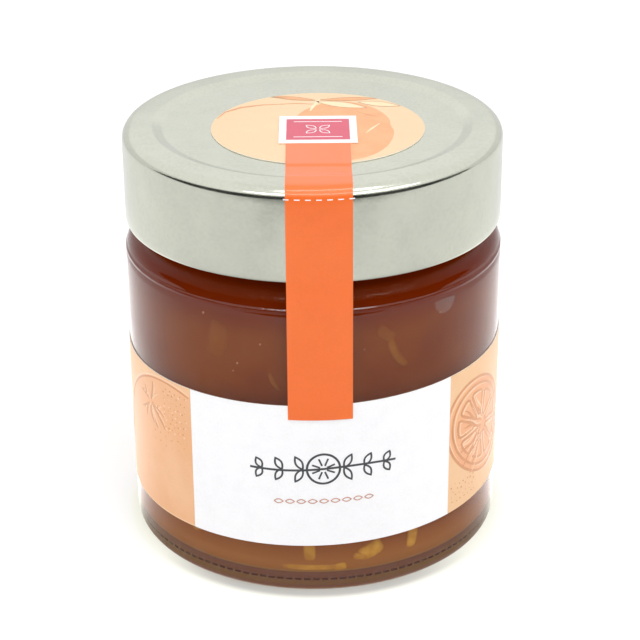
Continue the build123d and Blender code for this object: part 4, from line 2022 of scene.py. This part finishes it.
    def _stuck(
        self, piece: bpy.types.Object, lift: float = 0.0, start: Point = (0.0, 0.0)
    ) -> bpy.types.Object:
        """Lays a flat mesh on the strip and turns its faces outwards.

        Args:
            piece: the flat mesh.
            lift: its height above the paper, in thicknesses of ink.
            start: where its own middle lies, as lay takes it.

        Returns:
            The same object.
        """
        laid(piece, lambda x, y, z: self.lay(start[0] + x, start[1] + y, z + self.ink * lift))
        bm = bmesh.new()
        bm.from_mesh(piece.data)
        bmesh.ops.recalc_face_normals(bm, faces=bm.faces)
        bm.to_mesh(piece.data)
        bm.free()
        return piece


# ---- the studio


@dataclass
class Lamp:
    """One soft box."""

    name: str
    place: tuple[float, float, float]
    aim: tuple[float, float, float]
    size: Point
    power: float
    gleams: bool = False

    def build(self) -> bpy.types.Object:
        """Makes the lamp and returns it. One that doesn't gleam only gives light, and no reflection."""
        data = bpy.data.lights.new(self.name, "AREA")
        data.shape = "RECTANGLE"
        data.size, data.size_y = self.size
        data.energy = self.power
        lamp = linked(self.name, data)
        lamp.visible_glossy = self.gleams
        lamp.location = self.place
        lamp.rotation_euler = (Vector(self.aim) - Vector(self.place)).to_track_quat("-Z", "Y").to_euler()
        return lamp


@dataclass
class Studio:
    """Pale floor, soft boxes, white surroundings and the camera."""

    camera_distance: float = 354.7 * MM
    camera_height: float = 206.3 * MM
    pitch: float = 24.98
    yaw: float = 0.195
    roll: float = 0.395
    lens: float = 109.6
    floor_half: float = 1.6
    fill: float = 0.55
    dusk: Point = (0.27, 0.335)
    backdrop: Point = (0.82, 1.03)
    eye: float = 0.065
    rim: float = 0.037
    card_radius: float = 0.245
    card_reach: float = 98.0
    card_low: Point = (-16.0, 3.0)
    card_tall: float = 34.0
    bar_radius: float = 0.5
    bar_rise: float = 34.0
    bar_half: float = 3.2
    bar_turns: Point = (-42.0, 68.0)
    bar_strength: float = 9.0
    lamps: tuple[Lamp, ...] = field(
        default=(
            Lamp("overhead_box", (0.0, 0.15, 0.85), (0.0, 0.0, 0.04), (0.65, 0.5), 0.9),
            Lamp("key_box", (0.085, -0.27, 0.81), (0.0, 0.0, 0.08), (0.54, 0.11), 1.5, True),
            Lamp("front_box", (0.18, -0.55, 0.70), (0.0, 0.0, 0.05), (0.75, 0.3), 2.45),
            Lamp("left_box", (-0.75, -0.15, 0.35), (0.0, 0.0, 0.04), (0.6, 0.6), 2.15),
            Lamp("right_box", (0.75, 0.0, 0.35), (0.0, 0.0, 0.04), (0.6, 0.6), 1.65),
        )
    )

    def surround(self) -> None:
        """Sets the surroundings: white to the camera and in reflections, softer as a light."""
        world = bpy.data.worlds.new("studio_white")
        bpy.context.scene.world = world
        world.use_nodes = True
        world.node_tree.nodes.clear()
        w = Wiring(world.node_tree)
        rays = w.add("ShaderNodeLightPath").outputs
        mirrored = w.maths("MAXIMUM", rays["Is Glossy Ray"], rays["Is Transmission Ray"])
        seen = w.maths("MAXIMUM", rays["Is Camera Ray"], mirrored)
        fill = w.add("ShaderNodeBackground", {"Color": WHITE, "Strength": self.fill})
        way = w.add("ShaderNodeTexCoord").outputs["Generated"]
        upward = w.add("ShaderNodeSeparateXYZ", {0: way}).outputs[2]
        backdrop = w.maths("MAXIMUM", w.fade(upward, *self.dusk, *self.backdrop), rays["Is Camera Ray"])
        white = w.add("ShaderNodeBackground", {"Color": WHITE, "Strength": backdrop})
        mix = w.add("ShaderNodeMixShader", {0: seen, 1: fill, 2: white})
        w.add("ShaderNodeOutputWorld", {"Surface": mix})

    def floor(self) -> bpy.types.Object:
        """Makes the pale floor and returns it."""
        sheet = Sheet()
        marks = between(-self.floor_half, self.floor_half, 16)
        sheet.grid(marks, marks)
        floor = dressed(sheet.build("studio_floor", 2 * MM), FloorWhite().make())
        return floor

    def _screen(
        self,
        name: str,
        radius: float,
        turns: tuple[float, float],
        rises: Callable[[float], tuple[float, float]],
        finish: bpy.types.Material,
    ) -> bpy.types.Object:
        """Bends a screen round the front of the jar that only shows in its gloss.

        Args:
            name: the screen's name.
            radius: its distance from the jar's axis.
            turns: where it starts and ends round the jar, in degrees from the front towards +X.
            rises: gives its lower and upper edge, in degrees above the level of the gloss, from -1 at one
                end of it to 1 at the other.
            finish: its material.

        Returns:
            The screen.
        """
        bm = bmesh.new()
        steps = 72
        rows = []
        for i in range(steps + 1):
            turn = math.radians(turns[0] + (turns[1] - turns[0]) * i / steps)
            spot = (radius * math.sin(turn), -radius * math.cos(turn))
            tilts = [math.tan(math.radians(rise)) for rise in rises(2 * i / steps - 1)]
            rows.append([bm.verts.new((*spot, self.eye + (radius - self.rim) * tilt)) for tilt in tilts])
        for a, b in zip(rows, rows[1:]):
            bm.faces.new((a[0], a[1], b[1], b[0]))
        screen = dressed(piece_from(bm, name), finish)
        for kind in ("visible_camera", "visible_diffuse", "visible_shadow", "visible_transmission"):
            setattr(screen, kind, False)
        return screen

    def card(self) -> bpy.types.Object:
        """Makes the dark card in front, which gives the gloss its dark band, and returns it."""

        def rises(share: float) -> tuple[float, float]:
            """Edges of the card, which narrows to its ends."""
            low = self.card_low[0] + (self.card_low[1] - self.card_low[0]) * share**2
            return low, low + self.card_tall * (1 - share**2) ** 0.6 + 0.1

        turns = (-self.card_reach, self.card_reach)
        finish = Matt("dark_card", (0.03, 0.032, 0.03))
        return self._screen("dark_card", self.card_radius, turns, rises, finish.make())

    def bar(self) -> bpy.types.Object:
        """Makes the light bar in front, which gives the gloss its bright lines, and returns it."""

        def rises(share: float) -> tuple[float, float]:
            """Edges of the bar, which narrows to its ends."""
            half = self.bar_half * (1 - share**2) ** 0.5 + 0.05
            return self.bar_rise - half, self.bar_rise + half

        finish = Matt("light_bar", BLACK, 0.5, self.bar_strength)
        return self._screen("light_bar", self.bar_radius, self.bar_turns, rises, finish.make())

    def camera(self) -> bpy.types.Object:
        """Makes the camera, sets it and returns it."""
        yaw, pitch, roll = (math.radians(a) for a in (self.yaw, self.pitch, self.roll))
        right = Vector((math.cos(yaw), -math.sin(yaw), 0.0))
        ahead = Vector((math.sin(yaw) * math.cos(pitch), math.cos(yaw) * math.cos(pitch), -math.sin(pitch)))
        up = Vector((math.sin(yaw) * math.sin(pitch), math.cos(yaw) * math.sin(pitch), math.cos(pitch)))
        across = right * math.cos(roll) - up * math.sin(roll)
        upward = right * math.sin(roll) + up * math.cos(roll)
        data = bpy.data.cameras.new("camera")
        data.lens = self.lens
        data.sensor_width = 36.0
        data.clip_start, data.clip_end = 0.01, 20.0
        camera = linked("camera", data)
        turn = Matrix((across, upward, -ahead)).transposed().to_4x4()
        camera.matrix_world = Matrix.Translation((0.0, -self.camera_distance, self.camera_height)) @ turn
        bpy.context.scene.camera = camera
        return camera

    def build(self) -> None:
        """Makes the whole studio."""
        bpy.context.scene.view_settings.view_transform = "Standard"
        self.surround()
        self.floor()
        self.card()
        self.bar()
        for lamp in self.lamps:
            lamp.build()
        self.camera()
        LOG.info("studio: %d lamps, floor and camera", len(self.lamps))


def main() -> None:
    """Builds the object and its studio."""
    logging.basicConfig(level=logging.INFO, format="%(name)s %(message)s")
    jar = GlassJar()
    jar.build()
    Marmalade(jar).build()
    lid = TwistLid(jar)
    lid.build()
    label = WrapLabel()
    label.build()
    sticker = LidSticker()
    sticker.build()
    SealStrip(lid, label, sticker).build()
    Studio().build()


if __name__ == "__main__":
    main()
